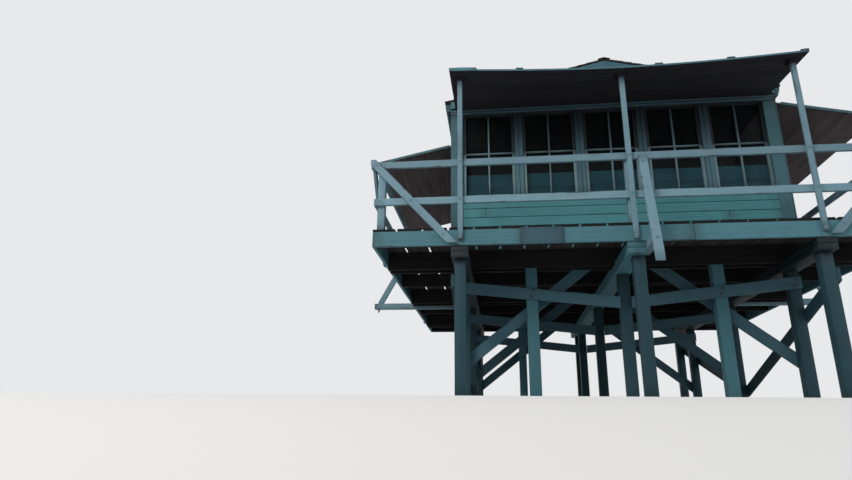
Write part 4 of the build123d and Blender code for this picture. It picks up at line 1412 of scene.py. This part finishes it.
def sag(x, reach):
    """How far the old front shutter hangs down at a place along it and a reach from the wall."""
    part = (x - prop_places[0]) / sag_run
    return sag_depth * math.sin(math.pi * part) * reach / end_length if 0 < part < 1 and reach > 0 else 0.0


for name, side in (("front_shutter", 0), ("back_shutter", 2)):
    bm, lean = shutter(side, end_hinge_z, end_drop, end_length, -shutter_half, shutter_half, 6)
    for x in prop_places:
        timber(bm, (x - cleat_half_length, -cleat_y - cleat_half, prop_top),
               (x + cleat_half_length, -cleat_y + cleat_half, end_under(cleat_y) + 0.001), "x",
               turn=sides[side], wobble=0)
    if side == 0:
        before = len(bm.faces)
        timber(bm, (-shutter_half - 0.002, -end_length - 0.004, 0.004),
               (-shutter_half + 0.335, -end_length + 0.001, 0.046), "x", turn=lean, edge=0.002)
        paint_since(bm, before)
        for vert in bm.verts[:] + hardware.verts[:]:
            vert.co.z -= sag(vert.co.x, -vert.co.y - cab_half)
    finished(bm, name, [shutter_wood, fascia_paint], [name])

# %% [markdown]
# The side shutters slope more steeply. The left one is shorter along the wall, because the door's bay
# stays free.

# %% Side shutters
side_hinge_z, side_drop, side_length = head - 0.010, math.radians(12.5), 1.240
for name, side, high in (("left_shutter", 3, door_low), ("right_shutter", 1, shutter_half)):
    bm = shutter(side, side_hinge_z, side_drop, side_length, -shutter_half, high, 7)[0]
    finished(bm, name, [side_shutter_wood, fascia_paint], [name])

# %% [markdown]
# ## Props and stays
# Painted props stand against the rim boards of both ends and reach a cleat under each end shutter.
# They are bolted at the rim and at both rails.

# %% Props
half_prop = 0.030
bm, bolts = bmesh.new(), bmesh.new()
for end in (-1, 1):
    near, far = layer(end, deck_y + thin_board)
    for x in prop_places:
        foot = deck_bottom + (0.058 if x else 0.018)
        top = prop_top - (sag(x, cleat_y - cab_half) if end < 0 else 0)
        timber(bm, (x - half_prop, near, foot), (x + half_prop, far, top), "z", edge=0.005, wobble=0.003)
        heights = (foot + 0.034, rail_bottoms[0] + bolt_up, rail_bottoms[1] + bolt_up)
        drive(bolts, bolt_head, [(x, end * (deck_y + thin_board), z) for z in heights], (0, end, 0))
finished(bm, "shutter_props", [rail_paint], ["shutter_props"])
finished(bolts, "prop_bolts", [painted_iron])
finished(hardware, "shutter_nails", [iron])

# %% [markdown]
# Iron rods hold the side shutters from the eaves. Each is a cylinder, made along Z and turned to the
# line between its two ends, with a bolt head at both.

# %% Stays
along_shutter = 0.700
sine, cosine = math.sin(side_drop), math.cos(side_drop)
hold = Vector((-cab_half - along_shutter * cosine - shutter_thickness * sine, 0,
               side_hinge_z - along_shutter * sine + shutter_thickness * cosine + 0.008))
eave_hold = Vector((-cab_half - 0.070, 0, eave_under - 0.0475))
bm = bmesh.new()
for side, start in ((-1, -door_low), (1, -shutter_half)):
    batten_step = (shutter_half - start - batten_width) / (batten_count - 1)
    for number in (1, 3, 5):
        y = start + number * batten_step + batten_width / 2
        low_end, high_end = [Vector((-side * p.x, y, p.z)) for p in (hold, eave_hold)]
        run = high_end - low_end
        turn = run.to_track_quat("Z", "Y").to_matrix().to_4x4()
        rod = bmesh.new()
        bmesh.ops.create_cone(rod, cap_ends=True, segments=10, radius1=0.007, radius2=0.007, depth=run.length,
                              matrix=Matrix.Translation((low_end + high_end) / 2) @ turn)
        join_into(bm, rod)
        drive(bm, bolt_head, [low_end - Vector((0, 0, 0.006))], (side * sine, 0, cosine))
        drive(bm, bolt_head, [(side * (cab_half + 0.064), y, high_end.z)], (side, 0, 0))
finished(bm, "shutter_stays", [iron], ["shutter_stays"])

# %% [markdown]
# ## The sign board
# The board on the front rim is bare, with a shallow border cut into its face. The front face is inset
# three times: flat, to leave the rim, then down into the wood, and up again to the old level.

# %% Sign board
sign_size = Vector((0.488, 0.022, 0.198))
sign_corner = Vector((-deck_x + 1.701, -deck_y - sign_size.y, deck_bottom - 0.012))
screw_inset = 0.012
bm = bmesh.new()
bmesh.ops.create_cube(bm, size=1.0)
bmesh.ops.scale(bm, vec=sign_size, verts=bm.verts)
bevel_sharp(bm, 0.004, 2)
face = min(bm.faces, key=lambda f: (f.calc_center_median().y, -f.calc_area()))
for thickness, depth in ((0.016, 0), (0.004, -0.003), (0.004, 0.003)):
    bmesh.ops.inset_region(bm, faces=[face], thickness=thickness, depth=depth)
put_layers(bm, sign_size)
bmesh.ops.transform(bm, matrix=Matrix.Translation(sign_corner + sign_size / 2), verts=bm.verts)
finished(bm, "sign_board", [sign_wood], ["sign_board"])
bm = bmesh.new()
drive(bm, nail_head, [sign_corner + Vector((x, 0, z)) for x in (screw_inset, sign_size.x - screw_inset)
                      for z in (screw_inset, sign_size.z - screw_inset)], (0, -1, 0))
finished(bm, "sign_screws", [iron])
